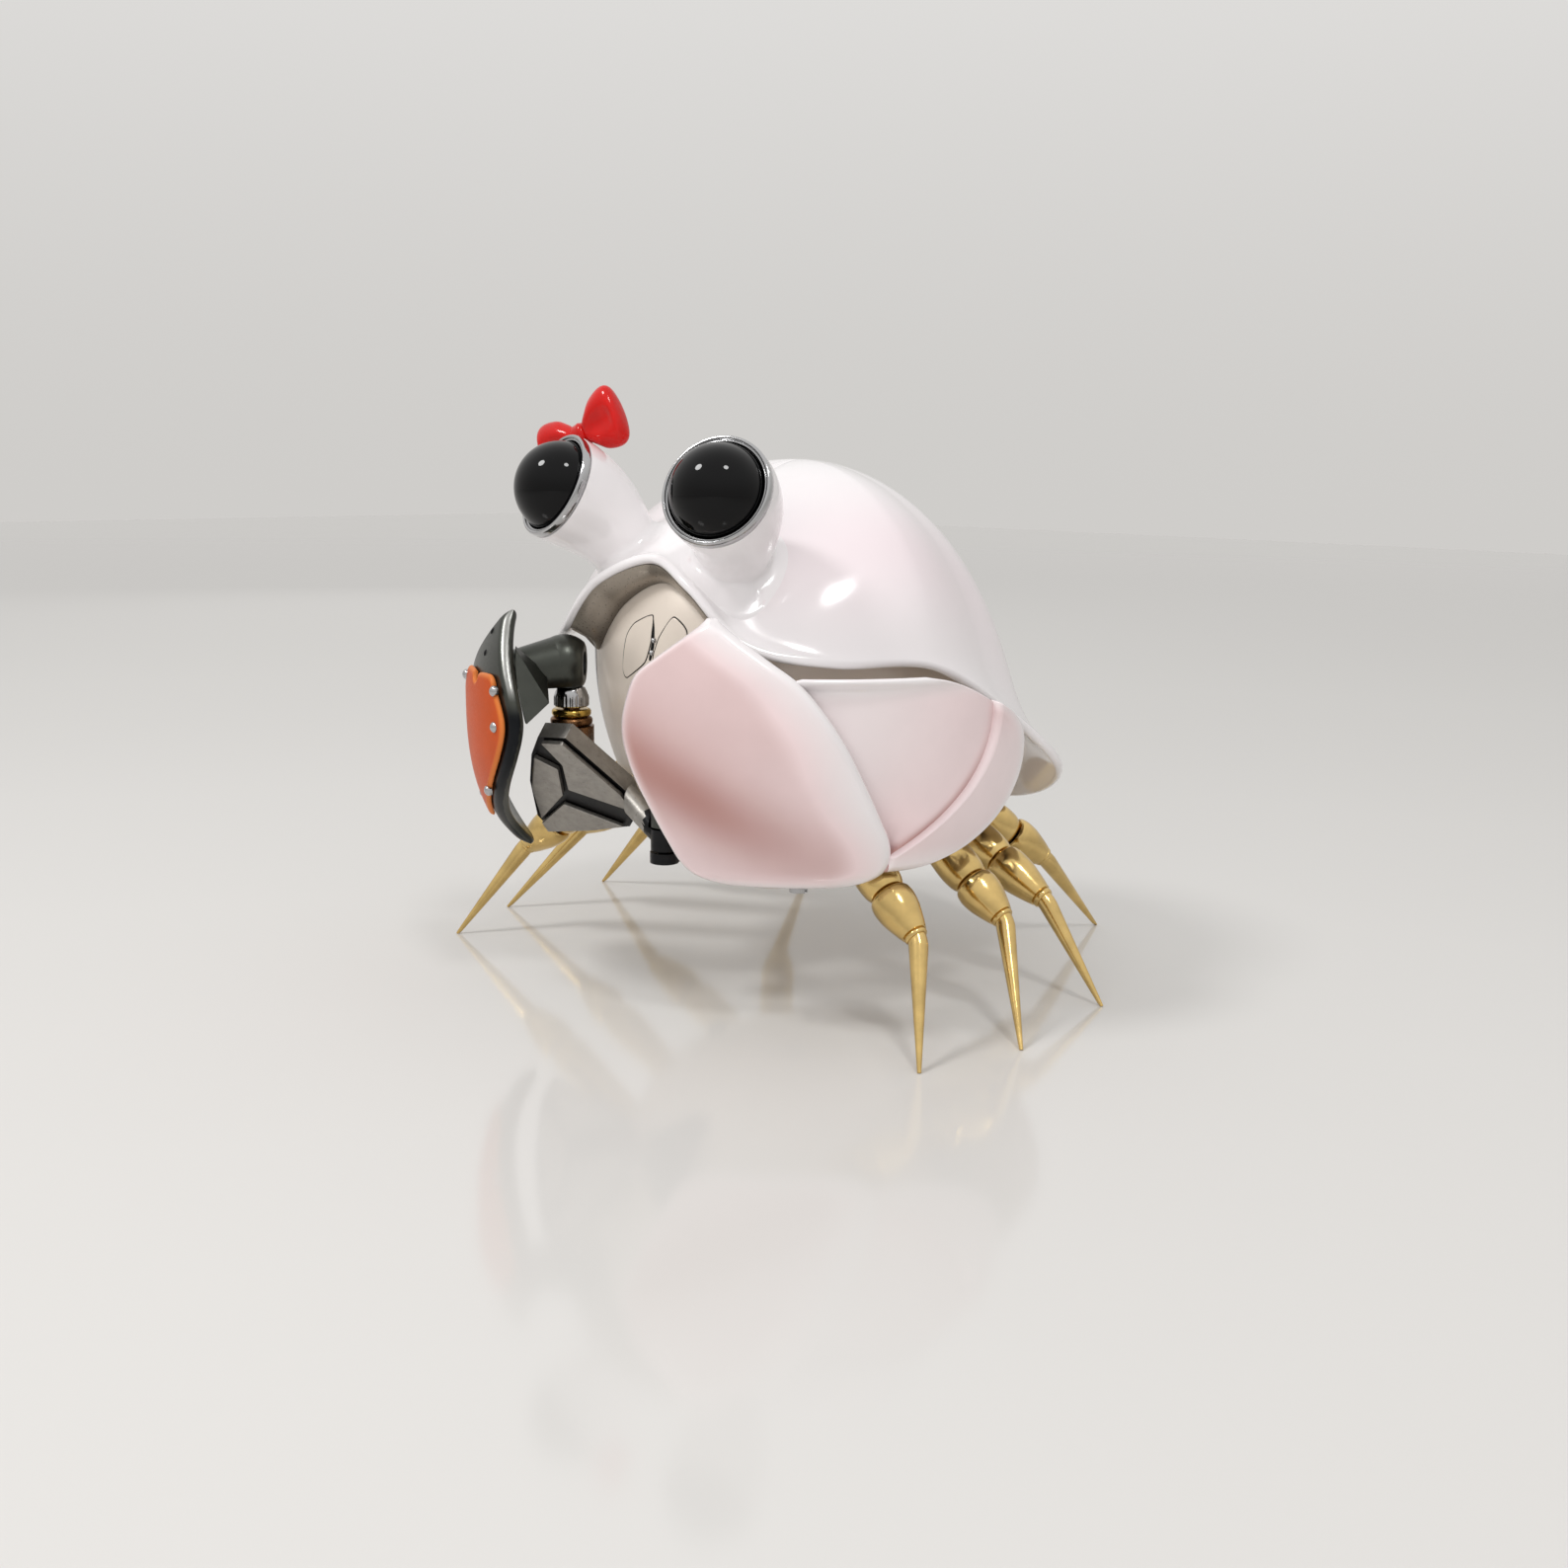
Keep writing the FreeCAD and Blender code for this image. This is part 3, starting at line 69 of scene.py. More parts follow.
# the rim of the hood from the middle of the brim round the left side to the middle of the back
HOOD_HALF_WIDTH, HOOD_FRONT, HOOD_LENGTH, HOOD_TOP, HOOD_CROWN = 38.7, -20.5, 68.0, 75.3, 11.3
HOOD_RIM = np.array([(0, 0, .83), (.235, -.025, .784), (.444, .003, .69), (.666, .118, .657), (.849, .301, .644),
                     (.953, .485, .558), (1, .684, .432), (.627, .89, .325), (0, 1, .292)])
HOOD_FLARES = (2.2, 2.2, 1.6, 7.4, 5.0)

BODY_HALF_WIDTH, BODY_HALF_LENGTH, BODY_CENTRE, BODY_WAIST, BODY_DEPTH, BODY_RISE = 26.0, 28.5, 8.0, 47.0, 35.8, 25.0
BODY_SEAM = 24.0

# each shell's foot and height, and its rows of share of the height and both edge angles
PALM_BOTTOM, PALM_HEIGHT = 20.2, 35.2
PALM = ([(0, 22, 52), (.03, 14.5, 59), (.08, 10.5, 62.5), (.17, 7.6, 62.1), (.28, 4.4, 58.6), (.42, .3, 54.1),
         (.56, -2, 49.6), (.68, -.9, 44.8), (.78, 1.6, 39.6), (.85, 6.8, 33.6), (.92, 12.6, 27.2), (.97, 16.6, 22.8),
         (1, 18.4, 20.6)],
        PALM_BOTTOM, PALM_HEIGHT)
BACK_BOTTOM, BACK_HEIGHT, BACK_THICKNESS, BACK_DROP, BACK_STEP = 22.3, 26.0, 1.6, 2.9, 1.2
BACK = ([(0, 60, 68), (.03, 57, 76), (.1, 55, 86.5), (.22, 52.5, 96.5), (.36, 48, 102.8), (.5, 44, 104.8),
         (.65, 40, 102.6), (.76, 37, 97), (.84, 35.5, 90), (.92, 35, 82), (.97, 36, 75), (1, 40, 68)], BACK_BOTTOM,
         BACK_HEIGHT)
SHIELD_THICKNESS = 2.2
SHIELD = ([(0, 43.5, 47), (.04, 40.6, 48.8), (.1, 36.8, 50), (.2, 28.5, 50.4), (.32, 19.6, 49.6), (.45, 12.6, 47.6),
           (.58, 9.2, 45), (.7, 11, 42), (.8, 14.6, 37), (.89, 18.4, 31), (.96, 21.6, 26.6), (1, 23.2, 24.4)], 18.2,
           36.0)
PANEL_BOTTOM, PANEL_HEIGHT, PANEL_THICKNESS, PANEL_EDGE, NOTCH_ANGLE, NOTCH_RADIUS = 24.0, 21.9, 0.8, 2.4, 26.0, 1.3
RIVETS = ((37.4, 44.3), (14.8, 43.9), (14.6, 39.0), (22.5, 29.2), (44.6, 26.0))

WRIST = np.array([-15.0, -20.6, 0.0])
WASHER_LOW, BRASS_LOW, NUT_LOW, NUT_HEIGHT, NUT_BORE, NUT_RIDGES = 37.66, 38.92, 40.32, 2.8, 1.25, 28
# heights and radii of the nut from its foot, and of the drum's mouth from its flat
NUT = [(0, NUT_BORE), (0, 2.3), (0.08, 2.42), (0.2, 2.5), (1.3, 2.5), (1.5, 2.44), (1.75, 2.36), (2.2, 2.2),
       (2.6, 1.98), (2.78, 1.8), (2.8, 1.6), (2.8, NUT_BORE), (0, NUT_BORE)]
DRUM_MOUTH = [(-0.02, 2.75), (0, 2.6), (0, 1.95), (-0.04, 1.8), (-0.2, 1.7), (-1.2, 1.66), (-1.3, 1.5), (-1.3, 0)]
DRUM = np.array([-15.8, -21.1, 46.4])
DRUM_ROOT, DRUM_ROOT_RADIUS = np.array([-21.3, -30.3, 44.8]), 2.6
DRUM_RADIUS, DRUM_FLAT, DRUM_RECESS, DRUM_HEADING = 4.1, 2.9, 1.7, radians(38.6)

# the hips as shares of the body's half width, half length and depth, the knees and the tips from the hips
HIPS = np.array([0, BODY_CENTRE, BODY_WAIST]) + (BODY_HALF_WIDTH, BODY_HALF_LENGTH, BODY_DEPTH) * np.array(
    [(1.213, -0.547, -0.788), (1.346, -0.009, -0.807), (1.173, 0.519, -0.821), (0.896, 1.039, -0.81)])
KNEES = HIPS + [(5.96, -1.51, -4.59), (6.0, -0.94, -4.11), (8.3, -0.79, -4.41), (3.7, 4.99, -4.4)]
TIPS = (HIPS + [(12.86, -10.41, 0), (15.0, -10.24, 0), (19.4, -2.79, 0), (6.7, 18.39, 0)]) * (1, 1, 0)
LOBE_LENGTH, COLLAR_RADIUS, SPIKE_RADIUS, ELBOW_RISE, SWIVEL_GAP = 18.0, 1.65, 1.32, 0.3, 0.3

# outlines of the mouth plates and the slit as shares of the mouth's half width and height
MOUTH_SIZE, MOUTH_FOOT, MOUTH_PINS, PIN_RADIUS = (6.4, 9.2), 45.2, ((0.1, 0.62), (0.08, 0.44)), 0.42
MOUTH_RIGHT = np.array([(-.03, 1), (-.58, .84), (-.79, .64), (-.86, .12), (-.72, 0), (-.1, .28), (.03, .58)])
MOUTH_LEFT = np.array([(.22, .66), (.5, 1), (.91, .8), (.98, .2), (.72, 0), (.1, .27)])
MOUTH_SLIT = np.array([(-.03, .97), (.07, .8), (.14, .56), (.07, .32), (0, .32), (.05, .6)])
RIB_TOP, RIB_FOOT, RIB_RADIUS = 56.5, 30, 0.48
STALK_RADIUS = 4.3
# the upright shoulder pin, and how far round it and round the wrist the arm's own finish changes
SHOULDER, SHOULDER_ROOM, BOSS_ROOM, BOSS_FOOT = (2.0, -19.4), 3.2, 3.4, 35
# the clearance between a piece and its seat
SEAT = 0.06
# millimetres along a shell for a radian, and for a degree of the back shell and of the panel
SHELL_REACH, BACK_ARC, PANEL_ARC = 36, 0.62, 0.63

LENS, CAMERA_PLACE, CAMERA_TURN, CAMERA_PITCH, CAMERA_ROLL = 36.0, (146.3, -173.9, 74.8), 38.6, 11.6, 1.05
# name, place and diameter in metres, watts, and whether mirrors show it
LAMPS = (("key", (-0.2, -0.34, 0.52), 0.13, 1.2, True), ("side", (0.3, -0.16, 0.62), 0.1, 0.75, True),
         ("front", (0.28, -0.6, 0.22), 0.5, 1.1, False), ("back", (-0.5, 0.3, 0.3), 0.5, 0.3, False))

# what the pieces in each slot of the frame are made of
FINISH_OF = {
    "white_enamel": "fired white enamel", "pink_enamel": "pearl pink enamel", "red_enamel": "glossy red enamel",
    "orange_enamel": "satin orange enamel", "champagne_metal": "satin champagne nickel",
    "khaki_metal": "pickled khaki brass",
    "dark_steel": "oxidised dark steel", "gunmetal": "burnished gunmetal", "faceted_steel": "bead blasted steel",
    "polished_steel": "mirror polished steel", "gilt": "lacquered gilt brass", "brass": "polished brass",
    "copper": "tarnished copper", "black_glass": "black glass",
}


def linear(code):
    """An sRGB hex colour as the linear values that a shader takes."""
    share = np.array([int(code[i:i + 2], 16) for i in (0, 2, 4)]) / 255
    return tuple(float(x) for x in np.where(share <= 0.04045, share / 12.92, ((share + 0.055) / 1.055) ** 2.4))


def hue(name, description, code):
    """A colour setting that starts at a hex colour."""
    return FloatVectorProperty(name=name, description=description, subtype="COLOR", min=0, max=1,
                               default=linear(code))


def length(name, description, default, low, high):
    """A size setting in millimetres."""
    return FloatProperty(name=name, description=description + ", in millimetres", default=default, min=low, max=high)


class CrabSizes(PropertyGroup):
    """Sizes of the figurine's surfaces."""
    hood_wall: length("Hood wall", "Thickness of the white hood", 1.4, 0.5, 2)
    palm_wall: length("Pink shell", "Thickness of the pink claw's front shell", 2.6, 1, 4)
    fillet: length("Stalk fillet", "How far the eye stalks run out onto the hood", 2.4, 0.2, 4)
    barrel: length("Leg barrel", "Largest radius of the leg barrels", 3.05, 2, 3.1)
    bulb: length("Hip bulb", "Largest radius of the bulbs at the hips", 3.0, 2, 3.0)
    floor: length("Floor", "Half the width of the floor", 1500, 300, 5000)
    fineness: IntProperty(name="Fineness", description="Steps round a large curve", default=192, min=32, max=384)


class CrabColours(PropertyGroup):
    """Colours of the figurine's finishes."""
    white: hue("White enamel", "Hood and eye stalks", "f1edee")
    pink: hue("Pearl pink", "Pink claw", "efd9da")
    rose: hue("Deep rose", "Shaded part of the pink claw", "ad7a72")
    champagne: hue("Champagne plate", "Face and body", "e8dccf")
    khaki: hue("Bare brim", "Band inside the brim", "a3998d")
    gunmetal: hue("Gunmetal", "Shield and drum", "4a4c47")
    steel: hue("Blasted steel", "Faceted arm", "9c9892")
    gilt: hue("Gilt", "Legs", "d3b576")
    red: hue("Red", "Bow", "c80f09")
    orange: hue("Orange enamel", "Panel of the grey claw", "c24b0a")


def sizes():
    """The size settings of this scene."""
    return bpy.context.scene.crab_sizes


# Curves and surfaces

def unit(v):
    """A vector, or an array of them, over its own length."""
    v = np.asarray(v, float)
    return v / np.maximum(np.linalg.norm(v, axis=-1, keepdims=True), 1e-12)


def ease(x):
    """From 0 to 1 with level ends: three times the square less twice the cube."""
    x = np.clip(x, 0, 1)
    return x * x * (3 - 2 * x)


def bell(x):
    """From 1 at 0 down to nothing on both sides: e to the power of minus the square."""
    return np.exp(-x ** 2)


def circle(steps):
    """The angles of a full turn in even steps, with both ends."""
    return np.linspace(0, 2 * pi, steps + 1)


def hoop(t, side, up):
    """The points of a circle of radius 1 at angles that start at side and turn towards up."""
    return np.cos(t)[..., None] * side + np.sin(t)[..., None] * up


def quadratic(a, b, c, s):
    """The quadratic curve that leaves a towards b and arrives at c from b."""
    return a * (1 - s) ** 2 + b * 2 * s * (1 - s) + c * s ** 2


def ball_profile(steps, high, wide=None, power=1.0):
    """Heights and radii of a ball from its foot to its top: minus the cosine, and a power of the sine."""
    bend = np.linspace(0, pi, steps + 1)
    return np.stack([-high * np.cos(bend), (wide or high) * np.sin(bend) ** power], 1)


def closing(grid, index):
    """The middle of one row of a grid, repeated as a row that closes it to a point."""
    return np.repeat(grid[[index]].mean(axis=1, keepdims=True), grid.shape[1], axis=1)


def cubic(full, k, f):
    """The cubic from the second to the third of four neighbours; its end slopes are half the chord between their
    neighbours."""
    a, b, c, d = full[k], full[k + 1], full[k + 2], full[k + 3]
    return 0.5 * (2 * b + (c - a) * f + (2 * a - 5 * b + 4 * c - d) * f ** 2 + (3 * b - a - 3 * c + d) * f ** 3)


def through(values, place, sign=1.0):
    """A smooth curve through evenly spaced values that goes on past both ends as its mirror image, times a sign."""
    values = np.asarray(values, float)
    k = np.clip(np.floor(place).astype(int), 0, len(values) - 2)
    return cubic(np.concatenate([[sign * values[1]], values, [sign * values[-2]]]), k, place - k)


def curve(points, count, closed=False):
    """A smooth curve through points, as count samples."""
    p = np.asarray(points, float)
    full = np.concatenate([p[-1:], p, p[:2]] if closed else [2 * p[:1] - p[1:2], p, 2 * p[-1:] - p[-2:-1]])
    spans = len(p) if closed else len(p) - 1
    place = np.linspace(0, spans, count)
    k = np.minimum(place.astype(int), spans - 1)
    return cubic(full, k, (place - k)[:, None])


def turned(profile, foot, way, steps=72, ridges=0, ridge_depth=0.0):
    """A profile of (height, radius) turned round the axis from foot along way; a wave of so many ridges draws the
    radius in by up to ridge_depth."""
    way = unit(way)
    side = unit(np.cross(way, (0.31, 0.95, 0.05) if abs(way[1]) < 0.8 else (1, 0, 0)))
    t = circle(steps)
    h, r = np.asarray(profile, float).T
    r = r[:, None] - ridge_depth * (0.5 - 0.5 * np.cos(ridges * t)) * (r[:, None] > 0)
    return np.asarray(foot, float) + h[:, None, None] * way + r[..., None] * hoop(t, side, np.cross(way, side))


def tube(path, radius, steps):
    """Rings of the given radii along a path, each square to the path's own slope, closed to a point at both ends."""
    slope = unit(np.gradient(path, axis=0))
    side = unit(np.cross(slope, unit(np.cross(path[-1] - path[0], (0.2, 0.9, 0.37)))))
    rows = path[:, None] + np.asarray(radius)[:, None, None] * hoop(circle(steps), side[:, None],
                                                                    np.cross(slope, side)[:, None])
    ends = [np.repeat(path[i][None, None], steps + 1, axis=1) for i in (0, -1)]
    return np.concatenate([ends[0], rows, ends[1]])


def half_round(distance, radius):
    """How full a plate is at a distance from its border: a quarter circle that starts at 0 and is 1 from radius
    on."""
    return np.sqrt(np.clip(1 - (1 - np.clip(distance / radius, 0, 1)) ** 2, 0, 1))


def mirrored(points):
    """The same grid on the other side of the crab."""
    return points * np.array([-1, 1, 1])


SIDES = (("left", lambda grid: grid), ("right", mirrored))


def hood_rim(turn):
    """The rim from 0 at the brim through 0.5 at the back to 1, through its listed points and their mirror image."""
    half = np.where(turn <= 0.5, turn, 1 - turn)
    place = 2 * half * (len(HOOD_RIM) - 1)
    x = np.where(turn <= 0.5, 1, -1) * HOOD_HALF_WIDTH * through(HOOD_RIM[:, 0], place, -1)
    y = HOOD_FRONT + HOOD_LENGTH * through(HOOD_RIM[:, 1], place)
    return np.stack([x, y, HOOD_TOP * through(HOOD_RIM[:, 2], place)], -1)


def hood_face(turn, reach):
    """The hood's outer face: it spreads with the sine and drops with the cosine of the reach from the crown, and a
    high power of the reach flares it out at the rim."""
    turn, reach = np.broadcast_arrays(np.asarray(turn, float) % 1, np.asarray(reach, float))
    rim = hood_rim(turn)
    half = 2 * np.where(turn <= 0.5, turn, 1 - turn)
    front = np.clip(1 - 2 * half, 0, 1)
    flare = through(HOOD_FLARES, (len(HOOD_FLARES) - 1) * half)
    out = rim[..., :2] - (0, HOOD_CROWN)
    way = unit(out)
    spread = np.sin(reach * pi / 2) ** (1 + 0.5 * front)
    rise = np.clip(np.cos(reach * pi / 2), 0, 1) ** (1 + front)
    flat = (out - way * flare[..., None]) * spread[..., None] + way * (flare * reach ** 14)[..., None]
    return np.stack([flat[..., 0], HOOD_CROWN + flat[..., 1], rim[..., 2] + (HOOD_TOP - rim[..., 2]) * rise], -1)


def hood_at(turn, reach, depth):
    """The point a depth below the hood's outer face, against the cross product of the face's two slopes, which points
    outwards."""
    step = 0.002
    along = hood_face(turn + step, reach) - hood_face(turn - step, reach)
    down = hood_face(turn, np.minimum(reach + step, 1)) - hood_face(turn, np.maximum(reach - step, 0))
    normal = np.cross(down, along)
    size = np.linalg.norm(normal, axis=-1, keepdims=True)
    normal = np.where(size < 1e-6, (0.0, 0.0, 1.0), normal / np.maximum(size, 1e-6))
    return hood_face(turn, reach) - normal * np.asarray(depth)[..., None]


TURNS = np.linspace(0, 1, 1441)[:-1]
BEARINGS = np.unwrap(np.arctan2(hood_rim(TURNS)[:, 0], HOOD_CROWN - hood_rim(TURNS)[:, 1]))


def hood_over(x, y):
    """The height of the hood's outer face over a place: the bearing from the crown gives the turn, and halving finds
    the reach."""
    x, y = np.broadcast_arrays(np.asarray(x, float), np.asarray(y, float))
    bearing = np.arctan2(x, HOOD_CROWN - y) % (2 * pi)
    turn = np.interp(bearing, np.append(BEARINGS, BEARINGS[0] + 2 * pi), np.append(TURNS, 1.0))
    radius = np.hypot(x, y - HOOD_CROWN)
    low, high = np.zeros_like(radius), np.ones_like(radius)
    for _ in range(26):
        middle = (low + high) / 2
        point = hood_face(turn, middle)
        inside = np.hypot(point[..., 0], point[..., 1] - HOOD_CROWN) < radius
        low, high = np.where(inside, middle, low), np.where(inside, high, middle)
    return hood_face(turn, (low + high) / 2)[..., 2]


def body_scale(z, proud=0.0):
    """How wide the egg-shaped body is at a height, as a share of its widest ring: the circle's law with its own reach
    up and down."""
    reach = np.where(z < BODY_WAIST, BODY_DEPTH, BODY_RISE) + proud
    return np.sqrt(np.clip(1 - ((z - BODY_WAIST) / reach) ** 2, 0, 1))


def body_face(x, z, proud=0.0):
    """The front of the body at a place across and a height, on an ellipse as wide and long as the body is there."""
    scale = body_scale(z, proud)
    wide, long = (BODY_HALF_WIDTH + proud) * scale, (BODY_HALF_LENGTH + proud) * scale
    y = BODY_CENTRE - long * np.sqrt(np.clip(1 - (x / np.maximum(wide, 1e-6)) ** 2, 0, 1))
    return np.stack(np.broadcast_arrays(x, y, z), -1)


def bowl(centre, reach, angle, z, side):
    """A point of an upright bowl, by the angle from straight ahead towards one side and the height."""
    turn = np.radians(angle)
    return np.stack(np.broadcast_arrays(centre[0] + side * reach * np.sin(turn), centre[1] - reach * np.cos(turn),
                                        z), -1)


def pink_point(angle, z, depth):
    """The pink claw's bowl: its reach shrinks with the square of the height from its waist."""
    return bowl((5.0, 5.0), 35.5 - 4.5 * ((z - 42) / 22) ** 2 - depth, angle, z, 1)


def shield_point(angle, z, depth):
    """The grey claw's bowl: it tucks in with the cube below its waist and leans in with the square above."""
    sink = np.where(z < 42, 7 * (np.clip(42 - z, 0, None) / 23.8) ** 3, 3.4 * (np.clip(z - 42, 0, None) / 12.2) ** 2)
    return bowl((-5.0, 2.0), 37.6 - sink - depth, angle, z, -1)


def edges(rows, share):
    """The two edge angles of a shell at shares of its height."""
    fine = curve(rows, 600)
    return np.interp(share, fine[:, 0], fine[:, 1]), np.interp(share, fine[:, 0], fine[:, 2])


def edges_at(outline, z):
    """The two edge angles of a shell at heights."""
    rows, bottom, height = outline
    return edges(rows, np.clip((z - bottom) / height, 0, 1))


def crowded(count):
    """Shares from 0 to 1 that crowd towards both ends: half of one less the cosine."""
    return (1 - np.cos(pi * np.linspace(0, 1, count + 1))) / 2


def shell(point, outline, thickness, border, depth=None, steps=(96, 96), ridge=None):
    """A curved plate whose two faces meet in a rounded border, with one column of points kept on a ridge line where
    one is given; returns both grids, the angles, the heights and the distance from the border."""
    rows, bottom, height = outline
    v = crowded(steps[1])
    low, high = edges(rows, v)
    z = (bottom + height * v)[:, None]
    if ridge is None:
        angle = low[:, None] + (high - low)[:, None] * crowded(steps[0])
    else:
        half = crowded(steps[0] // 2)
        middle = np.clip(ridge(z), low[:, None] + 0.02, high[:, None] - 0.02)
        angle = np.concatenate([low[:, None] + (middle - low[:, None]) * half,
                                middle + (high[:, None] - middle) * half[1:]], axis=1)
    u = (angle - low[:, None]) / (high - low)[:, None]
    z = z + 0 * angle
    across = np.minimum(u, 1 - u) * np.radians(high - low)[:, None] * SHELL_REACH
    upward = np.minimum(v, 1 - v)[:, None] * height + 0 * angle
    full = half_round(across, border) * half_round(upward, border)
    top = 0 if depth is None else depth(angle, z)
    faces = [point(angle, z, top + thickness / 2 * (1 - full)), point(angle, z, top + thickness / 2 * (1 + full))]
    return faces, angle, z, np.minimum(across, upward)


# Meshes

def piece(name, grids, slot, node=None, body="crab_base", tint=None, sharp=50):
    """Makes one mesh from grids of points: each cell becomes a face, grids that share a border are merged there, and
    faces are turned outwards."""
    count, faces = 0, []
    for g in grids:
        i = np.arange(g.shape[0] * g.shape[1]).reshape(g.shape[:2]) + count
        faces.append(np.stack([i[:-1, :-1], i[1:, :-1], i[1:, 1:], i[:-1, 1:]], -1).reshape(-1, 4))
        count += i.size
    points = (np.concatenate([g.reshape(-1, 3) for g in grids]) + SHIFT) / 1000
    mesh = bpy.data.meshes.new(name)
    mesh.from_pydata(points.tolist(), [], np.concatenate(faces).tolist())
    shade = np.zeros(count)
    if tint is not None:
        shade = np.concatenate([np.broadcast_to(t, g.shape[:2]).ravel() for t, g in zip(tint, grids)])
    mesh.attributes.new("tint", "FLOAT", "POINT").data.foreach_set("value", shade.astype(np.float32))
    return dress(mesh, name, slot, node, body, sharp)


def linked(name, data):
    """A new object of the scene."""
    obj = bpy.data.objects.new(name, data)
    bpy.context.scene.collection.objects.link(obj)
    return obj


def recoat(mesh, finish):
    """Gives a mesh its one finish."""
    mesh.materials.clear()
    mesh.materials.append(bpy.data.materials[finish])


def dress(mesh, name, slot, node, body, sharp):
    """Closes a mesh, turns its faces outwards, smooths it up to an angle and hangs it on its body."""
    work = bmesh.new()
    work.from_mesh(mesh)
    bmesh.ops.remove_doubles(work, verts=work.verts, dist=2e-7)
    bmesh.ops.dissolve_degenerate(work, dist=1e-8, edges=work.edges)
    bmesh.ops.recalc_face_normals(work, faces=work.faces)
    work.to_mesh(mesh)
    work.free()
    mesh.polygons.foreach_set("use_smooth", np.ones(len(mesh.polygons), bool))
    mesh.set_sharp_from_angle(angle=radians(sharp))
    recoat(mesh, FINISH_OF[slot])
    obj = linked(name, mesh)
    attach(obj, body)
    if node:
        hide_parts(node)
    return obj


def softened(name, node, slot, body, width, sharp=20.0):
    """A merged copy of a flat-sided solid with its edges bevelled by a width in millimetres."""
    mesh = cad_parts[node].data.copy()
    obj = dress(mesh, name, slot, node, body, sharp)
    bevel = obj.modifiers.new("edge", "BEVEL")
    bevel.width, bevel.segments, bevel.harden_normals = width / 1000, 3, True
    bevel.limit_method, bevel.angle_limit = "ANGLE", radians(sharp)
    return obj


# Finishes

def emptied(owner):
    """The node tree of a material or world, with nothing in it."""
    owner.use_nodes = True
    owner.node_tree.nodes.clear()
    return owner.node_tree


def put(tree, kind, settings=(), **sockets):
    """Adds a node; settings are its own properties and sockets its inputs by name, or i and a number, each a value or
    another node's output."""
    node = tree.nodes.new(kind)
    for key, value in dict(settings).items():
        setattr(node, key, value)
    for key, value in sockets.items():
        socket = node.inputs[int(key[1:])] if key[1:].isdigit() else node.inputs[key.replace("_", " ")]
        if isinstance(value, bpy.types.NodeSocket):
            tree.links.new(value, socket)
        else:
            socket.default_value = value
    return node


def maths(tree, operation, a, b):
    """One operation on two values."""
    return put(tree, "ShaderNodeMath", {"operation": operation}, i0=a, i1=b).outputs[0]


def mix(tree, share, base, colour):
    """Leads a colour, given as values or as an output, to a second one by a share."""
    base = base if isinstance(base, bpy.types.NodeSocket) else tuple(base) + (1.0,)
    return put(tree, "ShaderNodeMix", {"data_type": "RGBA"}, i0=share, i6=base, i7=tuple(colour) + (1.0,)).outputs[2]


def finish(name, colour, metallic, roughness, coat=0.0, cloud=7.0, change=0.08, grain=0.35, relief=0.0, haze=0.03,
           second=None, third=None, specks=None, specular=0.5):
    """A finish from layers in real millimetres: slow clouds that shade the colour, an attribute that leads to a
    second colour above zero and to a third one below it, specks, and a fine grain that varies the roughness and lifts
    the surface by its relief."""
    tree = emptied(bpy.data.materials.new(name))
    place = put(tree, "ShaderNodeTexCoord").outputs["Object"]
    slow = put(tree, "ShaderNodeTexNoise", Vector=place, Scale=1000 / cloud, Detail=3.0, Roughness=0.55)
    spread = put(tree, "ShaderNodeMapRange", Value=slow.outputs["Fac"], i1=0.35, i2=0.65)
    dark, light = (tuple(min(1.0, x * (1 + k * change)) for x in colour) for k in (-1, 1))
    base = mix(tree, spread.outputs[0], dark, light)
    if second is not None:
        tint = put(tree, "ShaderNodeAttribute", {"attribute_name": "tint"}).outputs["Fac"]
        base = mix(tree, tint, base, second)
        if third is not None:
            base = mix(tree, maths(tree, "MULTIPLY", tint, -1.0), base, third)
    fine = put(tree, "ShaderNodeTexNoise", Vector=place, Scale=1000 / grain, Detail=2.0, Roughness=0.6).outputs["Fac"]
    if specks is not None:
        size, speck = specks
        cells = put(tree, "ShaderNodeTexNoise", Vector=place, Scale=1000 / size, Detail=4.0,
                    Roughness=0.75).outputs["Fac"]
        base = mix(tree, put(tree, "ShaderNodeMapRange", Value=cells, i1=0.62, i2=0.7).outputs[0], base, speck)
    rough = put(tree, "ShaderNodeMapRange", Value=fine, i1=0.25, i2=0.75, i3=max(0.0, roughness - haze),
                i4=roughness + haze)
    shader = put(tree, "ShaderNodeBsdfPrincipled", Base_Color=base, Roughness=rough.outputs[0], Metallic=metallic,
                 Coat_Weight=coat, Coat_Roughness=0.04)
    if metallic < 0.5:
        shader.inputs["Specular IOR Level"].default_value = specular
    if relief:
        bump = put(tree, "ShaderNodeBump", Height=fine, Distance=relief / 1000, Strength=1.0)
        tree.links.new(bump.outputs["Normal"], shader.inputs["Normal"])
    put(tree, "ShaderNodeOutputMaterial", Surface=shader.outputs["BSDF"])


